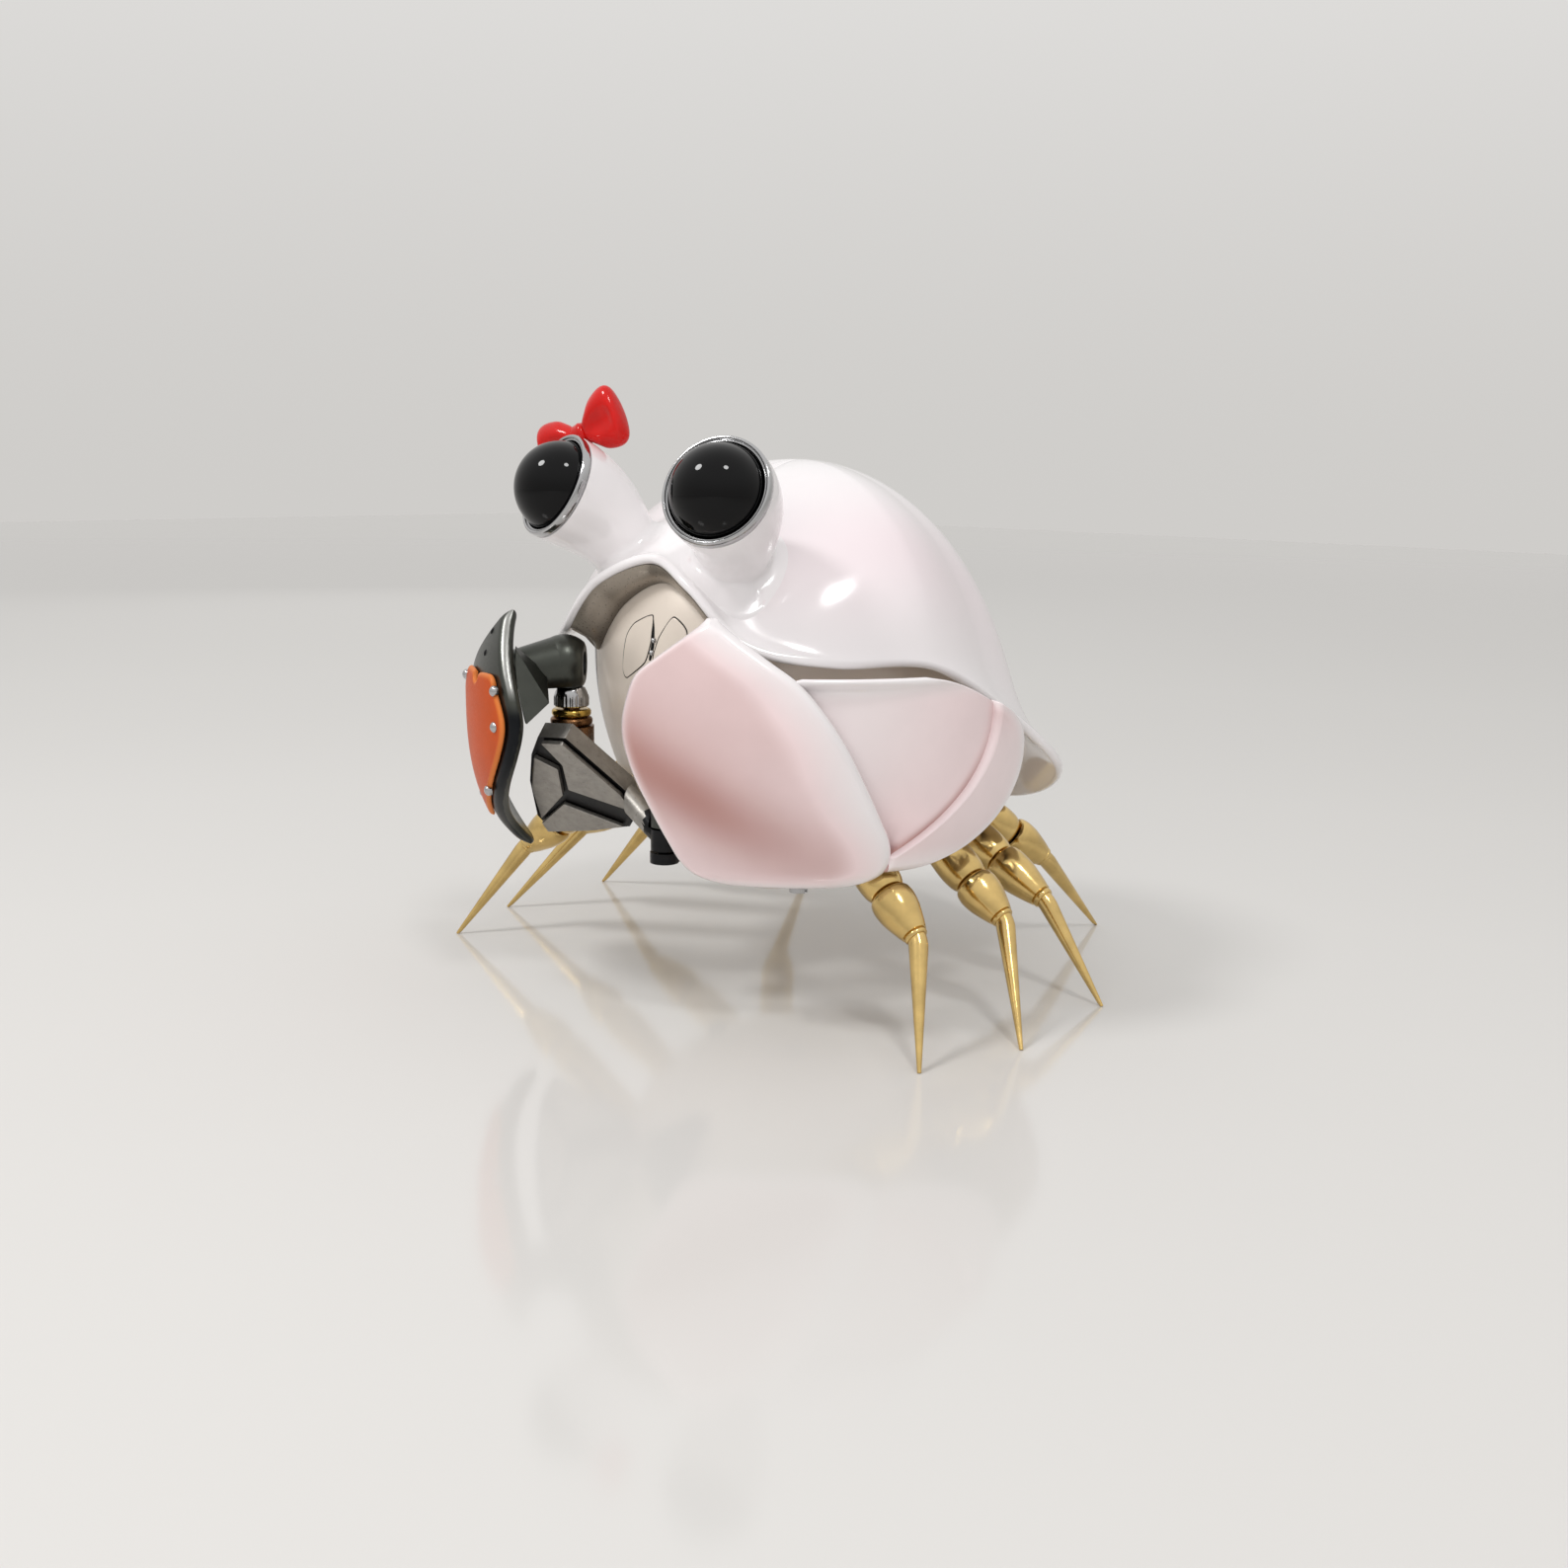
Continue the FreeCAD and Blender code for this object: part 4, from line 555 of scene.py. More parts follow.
def make_finishes():
    """Every finish of the figurine."""
    c = bpy.context.scene.crab_colours
    # kiln-fired enamel: even and wet-looking, with a faint long wave in the gloss
    finish("fired white enamel", c.white, 0.0, 0.15, coat=0.5, change=0.012, cloud=14.0, grain=3.0, relief=0.004,
           second=linear("e9ccd4"))
    # pearl enamel over metal: white at the rounded rims as a painted highlight, rose that painted shade deepens
    # towards the lower left
    finish("pearl pink enamel", c.pink, 0.05, 0.18, coat=0.6, change=0.03, cloud=9.0, grain=2.0, relief=0.004,
           second=c.rose, third=linear("f3eeef"))
    # satin nickel with a warm plate, nearly matt: soft highlights and a very fine grain
    finish("satin champagne nickel", c.champagne, 0.25, 0.36, change=0.035, cloud=9.0, grain=0.25, relief=0.005,
           haze=0.05)
    # the same plate, left duller inside the brim, with slow stains, and a dark colour laid on as painted shade
    # towards the face
    finish("pickled khaki brass", c.khaki, 0.55, 0.3, change=0.07, cloud=8.0, grain=0.3, relief=0.004, haze=0.05,
           second=linear("4e4842"))
    # oxidised steel: nearly black; it also stands as painted shade in the arm's sunk ground, the mouth's slit and the
    # horn's slots
    finish("oxidised dark steel", linear("2a2a2b"), 1.0, 0.36, change=0.15, grain=0.3, relief=0.006, haze=0.08)
    # gunmetal: smooth blue-grey, the band of the shield is burnished darker, the horn's inner edge is a paler bevel
    # lit by a painted highlight, and the drum's mouth is darkened as painted shade
    finish("burnished gunmetal", c.gunmetal, 0.9, 0.32, change=0.06, cloud=6.0, grain=0.4, relief=0.0012, haze=0.05,
           second=linear("1f2124"), third=linear("a8a8a4"))
    # lacquered gilt: pale and bright, streaked with soft reflections
    finish("lacquered gilt brass", c.gilt, 1.0, 0.17, change=0.1, cloud=3.5, grain=0.5, relief=0.002, haze=0.05)
    # mirror steel: takes the colour of what is round it
    finish("mirror polished steel", linear("b4b4b5"), 1.0, 0.11, change=0.02, grain=3.0, haze=0.005)
    # black glass: no grain at all, only sharp reflections, held down as a dark ball in a dark room shows them
    finish("black glass", linear("040405"), 0.0, 0.03, change=0.0, grain=4.0, haze=0.005, specular=0.2)
    # lipstick-red enamel: thick, wet and deep
    finish("glossy red enamel", c.red, 0.0, 0.16, coat=0.25, change=0.08, cloud=3.0, grain=2.5, relief=0.004,
           specular=0.2)
    # bead-blasted steel: grey with fine dark and bright specks
    finish("bead blasted steel", c.steel, 0.85, 0.4, change=0.1, cloud=1.4, grain=0.28, relief=0.012, haze=0.1,
           specks=(0.55, linear("66625e")))
    # satin orange enamel: even colour, paler along its rounded rim
    finish("satin orange enamel", c.orange, 0.0, 0.4, change=0.06, cloud=6.0, grain=0.3, relief=0.003, haze=0.06,
           second=linear("e08a48"), specular=0.15)
    # tarnished copper and polished brass
    finish("tarnished copper", linear("7d5a3c"), 1.0, 0.28, change=0.2, cloud=1.5, grain=0.3, relief=0.004, haze=0.08)
    finish("polished brass", linear("c2a050"), 1.0, 0.16, change=0.1, cloud=2.0, grain=0.4, relief=0.002, haze=0.05)


# The figurine's pieces

class CRAB_OT_stage(Operator):
    """Builds the pale floor, the soft lamps, the world and the camera"""
    bl_idname = "crab.stage"
    bl_label = "Stage"

    def execute(self, context):
        scene = context.scene
        half = sizes().floor / 1000
        mesh = bpy.data.meshes.new("floor")
        mesh.from_pydata([(-half, -half, 0), (half, -half, 0), (half, half, 0), (-half, half, 0)], [], [(0, 1, 2, 3)])
        linked("floor", mesh)
        # white acrylic sheet: plain, pale and faintly glossy, with the shadow and a soft mirror image in it
        sheet = bpy.data.materials.new("white acrylic sheet")
        mesh.materials.append(sheet)
        tree = emptied(sheet)
        shader = put(tree, "ShaderNodeBsdfPrincipled", Base_Color=linear("dddbd8") + (1.0,), Roughness=0.1)
        put(tree, "ShaderNodeOutputMaterial", Surface=shader.outputs[0])
        scene.world = bpy.data.worlds.new("studio")
        tree = emptied(scene.world)
        # eyes and mirrors see the wall a little brighter than it lights
        ray = put(tree, "ShaderNodeLightPath").outputs
        seen = maths(tree, "MAXIMUM", ray["Is Camera Ray"], ray["Is Transmission Ray"])
        seen = maths(tree, "MAXIMUM", seen, ray["Is Glossy Ray"])
        strength = put(tree, "ShaderNodeMapRange", Value=seen, i3=0.66, i4=1.0)
        # a pale grey wall that lightens towards the ceiling, so that metal has something to show
        height = put(tree, "ShaderNodeSeparateXYZ", Vector=put(tree, "ShaderNodeTexCoord").outputs["Generated"])
        rise = put(tree, "ShaderNodeMapRange", {"interpolation_type": "SMOOTHSTEP"}, Value=height.outputs["Z"],
                   i1=-0.05, i2=0.75)
        wall = mix(tree, rise.outputs[0], linear("cfcdca"), linear("f8f7f6"))
        sky = put(tree, "ShaderNodeBackground", Color=wall, Strength=strength.outputs[0])
        put(tree, "ShaderNodeOutputWorld", Surface=sky.outputs[0])
        for name, place, size, watts, mirrored_in in LAMPS:
            lamp = bpy.data.lights.new(name, "AREA")
            lamp.shape, lamp.energy, lamp.size = "DISK", watts, size
            obj = linked(name, lamp)
            obj.visible_glossy = mirrored_in
            set_view(obj, np.array(place), unit(np.array([0, 0, 0.035]) - place), 0.0)
        camera = bpy.data.cameras.new("camera")
        camera.lens, camera.sensor_width, camera.sensor_fit = LENS, 36.0, "HORIZONTAL"
        scene.camera = linked("camera", camera)
        turn, pitch = radians(CAMERA_TURN), radians(CAMERA_PITCH)
        way = np.array([-sin(turn) * cos(pitch), cos(turn) * cos(pitch), -sin(pitch)])
        set_view(scene.camera, (np.array(CAMERA_PLACE) + SHIFT) / 1000, way, radians(CAMERA_ROLL))
        scene.view_settings.view_transform = "Standard"
        return {"FINISHED"}


def set_view(obj, place, way, roll):
    """Stands a camera or lamp at a place, looking along way, with its right side turned up by the roll."""
    right = unit(np.cross(way, (0, 0, 1)))
    up = np.cross(right, way)
    across = cos(roll) * right + sin(roll) * up
    raised = cos(roll) * up - sin(roll) * right
    columns = np.stack([across, raised, -np.asarray(way), place], 1)
    obj.matrix_world = Matrix([*columns.tolist(), (0, 0, 0, 1)])


class CRAB_OT_hood(Operator):
    """Builds the white hood as one wall with a rounded rim"""
    bl_idname = "crab.hood"
    bl_label = "Hood"

    def execute(self, context):
        wall, steps = sizes().hood_wall, sizes().fineness
        turn = np.linspace(0, 1, steps + 1)
        speed = np.linalg.norm(hood_face(turn, 1.0) - hood_face(turn, 0.99), axis=-1) / 0.01
        lip = wall / 2 / speed
        share = (1 - (1 - np.linspace(0, 1, 72)) ** 1.8)[:, None]
        reach = np.maximum(share * (1 - lip), 1e-4)
        outer = hood_at(turn[None], reach, np.zeros_like(reach))
        bend = np.linspace(0, pi, 15)[1:-1, None]
        round_rim = hood_at(turn[None], 1 - lip * (1 - np.sin(bend)), wall / 2 * (1 - np.cos(bend)) + 0 * lip)
        inner = hood_at(turn[None], reach[::-1], wall + 0 * reach)
        # a breath of pink on both flanks: a bell curve of the reach times a wave of the turn
        blush = 0.4 * bell((reach - 0.6) / 0.24) * (0.5 - 0.5 * np.cos(4 * pi * turn))
        tint = np.concatenate([blush, np.zeros((len(round_rim) + len(inner), steps + 1))])
        piece("hood", [np.concatenate([outer, round_rim, inner])], "white_enamel", "carapace", tint=(tint,), sharp=60)
        return {"FINISHED"}


def stalk_line(share):
    """The stalk's centre line: the cubic between foot and head that leaves upwards and arrives along the eye's
    axis."""
    head = EYE_RIM - EYE_WAY * (BEZEL_DEPTH / 2 + SEAT)
    points = (STALK_FOOT, STALK_FOOT + (0, 0, 4.5), head - EYE_WAY * 6.5, head)
    s = np.asarray(share, float)[..., None]
    return (points[0] * (1 - s) ** 3 + points[1] * 3 * s * (1 - s) ** 2 + points[2] * 3 * s * s * (1 - s)
            + points[3] * s ** 3)


def stalk_skin(share, turn):
    """A point of the stalk: its radius grows to the bezel's with level ends, with a faint swelling towards the
    head."""
    slope = unit(stalk_line(np.asarray(share) + 0.002) - stalk_line(np.asarray(share) - 0.002))
    side = unit(np.array([1.0, 0, 0]) - slope * slope[..., :1])
    radius = (STALK_RADIUS + (BEZEL_RADIUS - STALK_RADIUS) * ease(share)
              + 0.2 * np.sin(pi * np.clip(share, 0, 1)) * share)
    return stalk_line(share) + radius[..., None] * hoop(turn, side, np.cross(slope, side))


def stalk_grid():
    """The left stalk: a ring on the hood, the fillet as a quadratic curve towards the seam, the bent tube, and the
    ball's socket."""
    turn = circle(96)
    low, high = np.zeros(97), np.full(97, 0.75)
    for _ in range(20):
        middle = (low + high) / 2
        p = stalk_skin(middle, turn)
        under = p[:, 2] < hood_over(p[:, 0], p[:, 1])
        low, high = np.where(under, middle, low), np.where(under, high, middle)
    seam = stalk_skin(high, turn)
    fillet = sizes().fillet
    out = unit((seam - stalk_line(high))[:, :2])
    foot = seam.copy()
    foot[:, :2] += out * fillet
    foot[:, 2] = hood_over(foot[:, 0], foot[:, 1]) + 0.01
    start = high + fillet / 21
    rise = stalk_skin(start, turn)
    k = np.linspace(0, 1, 12)[:, None, None]
    rows = [foot[None] - (0, 0, 1.0), quadratic(foot, seam, rise, k)]
    s = np.linspace(0, 1, 40)[1:, None]
    rows.append(stalk_skin(start[None] * (1 - s) + s, turn[None] + 0 * s))
    ball = EYE_RIM - EYE_WAY * BALL_SETBACK
    socket = ([(BALL_SETBACK - 0.71, BEZEL_RADIUS - 0.7)]
              + [(-6.51 * cos(a), 6.51 * sin(a)) for a in np.linspace(1.5, 0, 12)])
    cup = turned(socket, ball, EYE_WAY, 96)
    last = rows[-1][-1]
    # the cup's rings are turned to start where the tube's rings start
    offset = int(np.argmin(np.linalg.norm(cup[0, :-1] - last[0], axis=-1)))
    ring = cup[:, :-1]
    if np.dot(np.cross(ring[0, 1] - ring[0, 0], ring[0, 2] - ring[0, 1]),
              np.cross(last[1] - last[0], last[2] - last[1])) < 0:
        ring = ring[:, ::-1]
        offset = 95 - offset
    ring = np.roll(ring, -offset, axis=1)
    rows.append(np.concatenate([ring, ring[:, :1]], axis=1))
    return np.concatenate([closing(rows[0], 0)] + rows)


class CRAB_OT_eyes(Operator):
    """Builds both eye stalks, bezels and glass balls"""
    bl_idname = "crab.eyes"
    bl_label = "Eyes"

    def execute(self, context):
        stalk = stalk_grid()
        lip = [(-0.65, 7.0), (-0.62, 7.25), (-0.4, 7.38), (0, 7.4), (0.35, 7.36), (0.55, 7.24), (0.6, 7.05),
               (0.52, 6.9), (0.36, 6.84), (0.3, 6.78), (0.36, 6.7), (0.34, 6.58), (0.2, 6.5), (0, 6.5), (-0.4, 6.53),
               (-0.65, 6.6), (-0.65, 7.0)]
        ring = turned(curve(lip, 110), EYE_RIM, EYE_WAY, 128)
        ball = turned(ball_profile(56, BALL_RADIUS), EYE_RIM - EYE_WAY * BALL_SETBACK, EYE_WAY, 96)
        for side, place in SIDES:
            piece("stalk_" + side, [place(stalk)], "white_enamel", "eye_stalk_" + side)
            piece("bezel_" + side, [place(ring)], "polished_steel", "eye_bezel_" + side, sharp=60)
            piece("ball_" + side, [place(ball)], "black_glass", "eye_glass_" + side, sharp=80)
        return {"FINISHED"}


def bow_axes():
    """The middle of the bow, and the ways across, up and deep."""
    axis = EYE_WAY * (-1, 1, 1)
    up = unit(np.array([0, 0, 1]) - axis * axis[2])
    middle = EYE_RIM * (-1, 1, 1) - (BOW_SHIFT, 0, 0) + up * (BEZEL_RADIUS + BOW_RISE) - axis * BOW_BACK
    turn, tilt = radians(6), radians(27)
    across = np.array([cos(turn) * cos(tilt), sin(turn) * cos(tilt), sin(tilt)])
    deep = unit(np.cross(across, (0, 0, 1)))
    return middle, across, unit(np.cross(deep, across)), deep


class CRAB_OT_bow(Operator):
    """Builds the two loops of the bow and its knot"""
    bl_idname = "crab.bow"
    bl_label = "Bow"

    def execute(self, context):
        middle, across, up, deep = bow_axes()
        rows = curve([(0.08, 0.24, 0.4), (0.18, 0.44, 0.7), (0.28, 0.62, 0.85), (0.45, 0.86, 0.98), (0.72, 1, 1),
                      (0.9, 0.92, 0.86), (0.98, 0.6, 0.5), (1, 0.05, 0.05)], 56)
        t = circle(64)
        for side, name in ((-1, "right"), (1, "left")):
            reach, height, depth = (rows[:, i, None] for i in range(3))
            # the front is pressed in along the loop's middle, and a fold runs out from the knot
            press = 1 - (0.42 * bell((np.sin(t) + 0.05) / 0.42) * (np.cos(t) > 0)
                         * ease(reach * 1.6) * ease((1 - reach) * 4))
            fold = 1 + 0.09 * np.cos(3 * t + 0.5) * (1 - reach)
            grid = (middle + across * (side * BOW_REACH * reach)[..., None]
                    + up * (BOW_HEIGHT * height * np.sin(t) * fold)[..., None]
                    + deep * (BOW_DEPTH * depth * np.cos(t) * press)[..., None])
            piece("bow_loop_" + name, [np.concatenate([closing(grid, 0), grid, closing(grid, -1)])], "red_enamel",
                  "bow_loops", sharp=70)
        knot = turned(ball_profile(32, 1.75, 1.7, 0.85), middle, up, 48, ridges=5, ridge_depth=0.22)
        foot = turned([(0, 0), (0, 0.95), (3.6, 0.95), (3.6, 0)], middle, -up, 32)
        piece("bow_middle", [knot], "red_enamel", "bow_knot", sharp=70)
        piece("bow_stem", [foot], "red_enamel")
        return {"FINISHED"}


def mouth_line(outline, grow):
    """A mouth plate's outline in millimetres, rounded through its corners and grown about its middle."""
    p = outline * MOUTH_SIZE + (0, MOUTH_FOOT)
    after = np.roll(p, -1, 0)
    soft = np.stack([p * 0.82 + after * 0.18, p * 0.18 + after * 0.82], 1).reshape(-1, 2)
    line = curve(soft, 145, closed=True)
    middle = line[:-1].mean(0)
    away = line - middle
    return middle, away * (1 + grow / np.maximum(np.linalg.norm(away, axis=1, keepdims=True), 1e-6))


def mouth_grid(outline, grow, proud, border):
    """A thin plate that follows the face: rings from the middle to the outline, full height inside and a quarter
    circle down at the border."""
    middle, away = mouth_line(outline, grow)
    share = np.concatenate([np.linspace(0, 0.8, 12), 1 - 0.2 * (1 - np.linspace(0, 1, 16)[1:]) ** 2])[:, None, None]
    flat = middle + away[None] * share
    distance = (1 - share[..., 0]) * np.linalg.norm(away, axis=1)
    height = -0.3 + (proud + 0.3) * half_round(distance, border)
    top = body_face(flat[..., 0], flat[..., 1])
    lift = body_face(flat[..., 0], flat[..., 1], 1.0) - top
    return np.concatenate([top + lift * height[..., None], top[:1] - lift[:1] * 0.4])


class CRAB_OT_body(Operator):
    """Builds the egg-shaped body, the face with its mouth, and the bare band inside the brim"""
    bl_idname = "crab.body"
    bl_label = "Body and face"

    def execute(self, context):
        steps = sizes().fineness
        t = circle(steps)
        seam = asin((BODY_WAIST - BODY_SEAM) / BODY_DEPTH)
        egg = []
        for reach, bend in ((-BODY_DEPTH, np.linspace(seam, 0, 60)), (BODY_RISE, np.linspace(0, pi / 2, 60)[1:])):
            bend = bend[:, None]
            wide = np.cos(bend)
            egg.append(np.stack(np.broadcast_arrays(wide * np.sin(t), -wide * np.cos(t), reach * np.sin(bend)), -1))
        egg = np.concatenate(egg) * (BODY_HALF_WIDTH, BODY_HALF_LENGTH, 1) + (0, BODY_CENTRE, BODY_WAIST)
        egg[..., 2] = np.minimum(egg[..., 2], hood_over(egg[..., 0], egg[..., 1]) - sizes().hood_wall - 0.1)
        piece("body_skin", [np.concatenate([closing(egg, 0), egg])], "champagne_metal", "body_shell")
        for side, outline in (("right", MOUTH_RIGHT), ("left", MOUTH_LEFT)):
            piece("mouth_joint_" + side, [mouth_grid(outline, 0.15, 0.02, 0.05)], "dark_steel")
            piece("mouth_leaf_" + side, [mouth_grid(outline, 0.0, 0.09, 0.12)], "champagne_metal",
                  "mouth_plate_" + side)
        # the slit is a dark sheet laid on the face as painted shade inside the opening
        piece("mouth_slit", [mouth_grid(MOUTH_SLIT, 0.0, 0.03, 0.05)], "dark_steel")
        pins = []
        for across, up in MOUTH_PINS:
            foot = body_face(np.array(MOUTH_SIZE[0] * across), np.array(MOUTH_FOOT + MOUTH_SIZE[1] * up))
            pins.append(turned(ball_profile(16, PIN_RADIUS), foot, (0, -1, 0), 24))
        recoat(piece("mouth_rivets", pins, "brass", "mouth_pins", sharp=60).data, "mirror polished steel")
        # a bright rib down the right cheek: a path on the body at a bearing that turns with the height
        z = np.linspace(RIB_TOP, RIB_FOOT, 60)
        scale = body_scale(z)
        bearing = np.radians(-48 - 3 * (RIB_TOP - z) / (RIB_TOP - RIB_FOOT))
        path = np.stack([BODY_HALF_WIDTH * scale * np.sin(bearing),
                         BODY_CENTRE - BODY_HALF_LENGTH * scale * np.cos(bearing), z], 1)
        piece("cheek_rib", [tube(path, np.full(60, RIB_RADIUS), 20)], "polished_steel")
        # the band inside the brim: a bent wall from the hood's inner face to the body, pushed clear of the drum
        turn = np.linspace(-0.126, 0.126, steps // 2 + 1)
        wall = np.full_like(turn, sizes().hood_wall + SEAT)
        grids = []
        for reach, rise in ((0.985, 0.0), (0.965, 0.9)):
            rim = hood_at(turn, np.full_like(turn, reach), wall)
            if not grids:
                across, height = rim[:, 0] * 0.84, rim[:, 2] - 2.6
            foot = body_face(across, height + rise, SEAT)
            mid = (rim + foot) / 2 + (0, -0.3, -0.3)
            s = np.linspace(0, 1, 13)[:, None, None]
            grids.append(rim * (1 - s) * (1 - 2 * s) + mid * 4 * s * (1 - s) + foot * s * (2 * s - 1))
        away = [g - DRUM for g in grids]
        grids = [DRUM + a * np.maximum(1, (DRUM_RADIUS + 1) / np.linalg.norm(a, axis=-1, keepdims=True))
                 for a in away]
        band = np.concatenate([grids[0], grids[1][::-1], grids[0][:1]])
        ends = [np.repeat(band[:, [i]].mean(axis=0, keepdims=True), len(band), axis=0) for i in (0, -1)]
        # darker towards the joint with the face: a painted shadow of the gap between band and face
        rows = np.concatenate([np.linspace(0, 1, 13), np.linspace(1, 0, 13), [0]])[:, None] + 0 * band[..., 0]
        dark = 0.8 * ease((rows - 0.55) / 0.45)
        dark = np.concatenate([dark[:, :1], dark, dark[:, -1:]], axis=1)
        piece("brim_band", [np.concatenate([ends[0], band, ends[1]], axis=1)], "khaki_metal", "brim_liner",
              tint=(dark,), sharp=40)
        return {"FINISHED"}


class CRAB_OT_legs(Operator):
    """Builds the eight legs: hip bulb, barrel with its collar, and bent spike"""
    bl_idname = "crab.legs"
    bl_label = "Legs"

    def execute(self, context):
        barrel, bulb = sizes().barrel, sizes().bulb
        for index, (hip, knee, tip) in enumerate(zip(HIPS, KNEES, TIPS), 1):
            way = unit(knee - hip)
            run = np.linalg.norm(knee - hip) - SWIVEL_GAP
            # the bulb, its heights counted back from the hip
            waist = curve([(-LOBE_LENGTH, 0.72 * bulb), (-0.55 * LOBE_LENGTH, 0.84 * bulb),
                           (-0.22 * LOBE_LENGTH, bulb), (-1.4, 0.96 * bulb), (-0.25, 0.84 * bulb), (0, 0.76 * bulb)],
                           48)
            lobe = [(-LOBE_LENGTH, 0)] + [tuple(p) for p in waist] + [(0, 0)]
            # the barrel is widest near the hip and runs out in a cone towards a small ring
            share = curve([(0, .66), (.04, .86), (.1, .95), (.22, 1), (.42, .88), (.62, .6), (.8, .3), (.9, .1)], 60)
            seat = [(0, 0)] + [(run * h, COLLAR_RADIUS + (barrel - COLLAR_RADIUS) * r) for h, r in share]
            collar = [(0.905 * run, 1.5), (0.92 * run, 1.6), (0.95 * run, COLLAR_RADIUS), (0.98 * run, 1.6),
                      (run, 1.46), (run, 0)]
            elbow = knee + way * ELBOW_RISE
            down = unit(tip - elbow)
            s = np.linspace(0, 1, 18)[:, None]
            bend = quadratic(knee - way * 0.6, elbow, elbow + down * 1.2, s)
            straight = elbow + down * 1.2 + (tip - elbow - down * 1.2) * np.linspace(0, 1, 24)[1:, None]
            path = np.concatenate([bend, straight])
            along = np.concatenate([[0], np.cumsum(np.linalg.norm(np.diff(path, axis=0), axis=1))])
            radius = np.interp(along / along[-1], [0, 0.1, 0.97, 1], [SPIKE_RADIUS, SPIKE_RADIUS, 0.31, 0.26])
            spike = tube(path, radius, 32)
            spike[..., 2] = np.maximum(spike[..., 2], 0)
            for side, place in SIDES:
                tag = side + "_" + str(index)
                rows = (("hip_bulb_", turned(lobe, hip, way, 56), "crab_base", "hip_lobe_", 50),
                        ("barrel_", turned(seat + collar, hip + way * SWIVEL_GAP, way, 56), "leg_" + tag,
                         "leg_barrel_", 40),
                        ("spike_", spike, "leg_" + tag, "leg_spike_", 50))
                for name, grid, body, node, sharp in rows:
                    piece(name + tag, [place(grid)], "gilt", node + tag, body, sharp=sharp)
        return {"FINISHED"}


def back_ridge(z):
    """The bearing of the line where the back shell's pocket meets its outer crescent: it swings out quickly above the
    foot and then stands upright."""
    return 62 + 27 * (1 - np.clip((44 - z) / 19.5, 0, 1) ** 2.2)


def back_depth(angle, z):
    """The pocket's depth: it eases up from the front shell's edge to the ridge line, ends there in a rounded step,
    and rises to a lip at the top."""
    edge = edges_at(PALM, z)[1]
    ridge = back_ridge(z)
    start = np.minimum(edge, ridge - 0.5)
    pocket = BACK_DROP + (BACK_STEP - BACK_DROP) * ease((angle - start) / (ridge - start))
    step = BACK_STEP * (1 - half_round((angle - ridge) * BACK_ARC, 0.8))
    lip = 1 - 0.8 * bell((BACK_BOTTOM + BACK_HEIGHT - z) / 1.3)
    return np.where(angle <= ridge, pocket, step) * lip * ease((z - BACK_BOTTOM) / 3)


class CRAB_OT_pink_claw(Operator):
    """Builds the two shells of the pink claw"""
    bl_idname = "crab.pink_claw"
    bl_label = "Pink claw"

    def execute(self, context):
        faces, angle, z, rim = shell(pink_point, PALM, sizes().palm_wall, 2.0, steps=(140, 140))
        # a slanting band of rose that fades to the right and towards the rim, and a pale border
        # painted shade deepens the rose towards the lower left; the pale border is a painted highlight on the rounded
        # rims, with a paler strip along the right edge
        right = edges_at(PALM, z)[1]
        rose = (0.95 * bell((z - (36 - 0.29 * (angle - 5))) / 6.5)
                * (1 - 0.5 * ease((angle - 14) / 36)) * ease(rim / 3))
        rose = (1 - (1 - rose) * (1 - 0.3 * ease((z - 30) / 12))) * ease(rim / 2.2)
        pale = np.maximum(0.8 * (1 - ease(rim / 1.5)), 1.1 * (1 - ease((right - angle) / 16)))
        piece("palm_shell", faces, "pink_enamel", "pink_palm", "pink_claw_link", tint=(rose - pale, -1 + 0 * rose),
              sharp=60)
        faces, angle, z, rim = shell(pink_point, BACK, BACK_THICKNESS, 1.0, depth=back_depth, steps=(200, 130),
                                     ridge=back_ridge)
        # the pocket: rose at its foot, partly painted shade in its deep corner, and along the ridge, where a painted
        # shadow line runs; pale towards the top; the crescent: pale but for a patch of rose
        ridge = back_ridge(z)
        inside = angle < ridge
        # painted shade: deeper rose round the pocket's deep foot by the V, and a little of it on the crescent
        low = np.exp(-(((angle - 62) / 12) ** 2 + ((z - 25) / 9) ** 2))
        pocket = (0.55 * low - 0.6 - 0.7 * (1 - ease((BACK_BOTTOM + BACK_HEIGHT - z) / 3.5))
                  + 0.5 * ease((angle - 50) / 34))
        crescent = (0.45 * np.exp(-(((angle - 92) / 9) ** 2 + ((z - 44) / 4) ** 2))
                    + 0.25 * low - 0.75 * (1 - ease(rim / 4)) - 0.25)
        # painted shadow: a dark line on the pocket's side of the ridge step, fading upwards
        fold = 0.75 * bell((angle - ridge) * BACK_ARC / 1.3) * inside * (1 - 0.6 * ease((z - 32) / 10))
        tint = np.where(inside, pocket, crescent) + fold
        piece("back_shell", faces, "pink_enamel", "pink_back", "pink_claw_link", tint=(tint, -1 + 0 * tint), sharp=60)
        return {"FINISHED"}


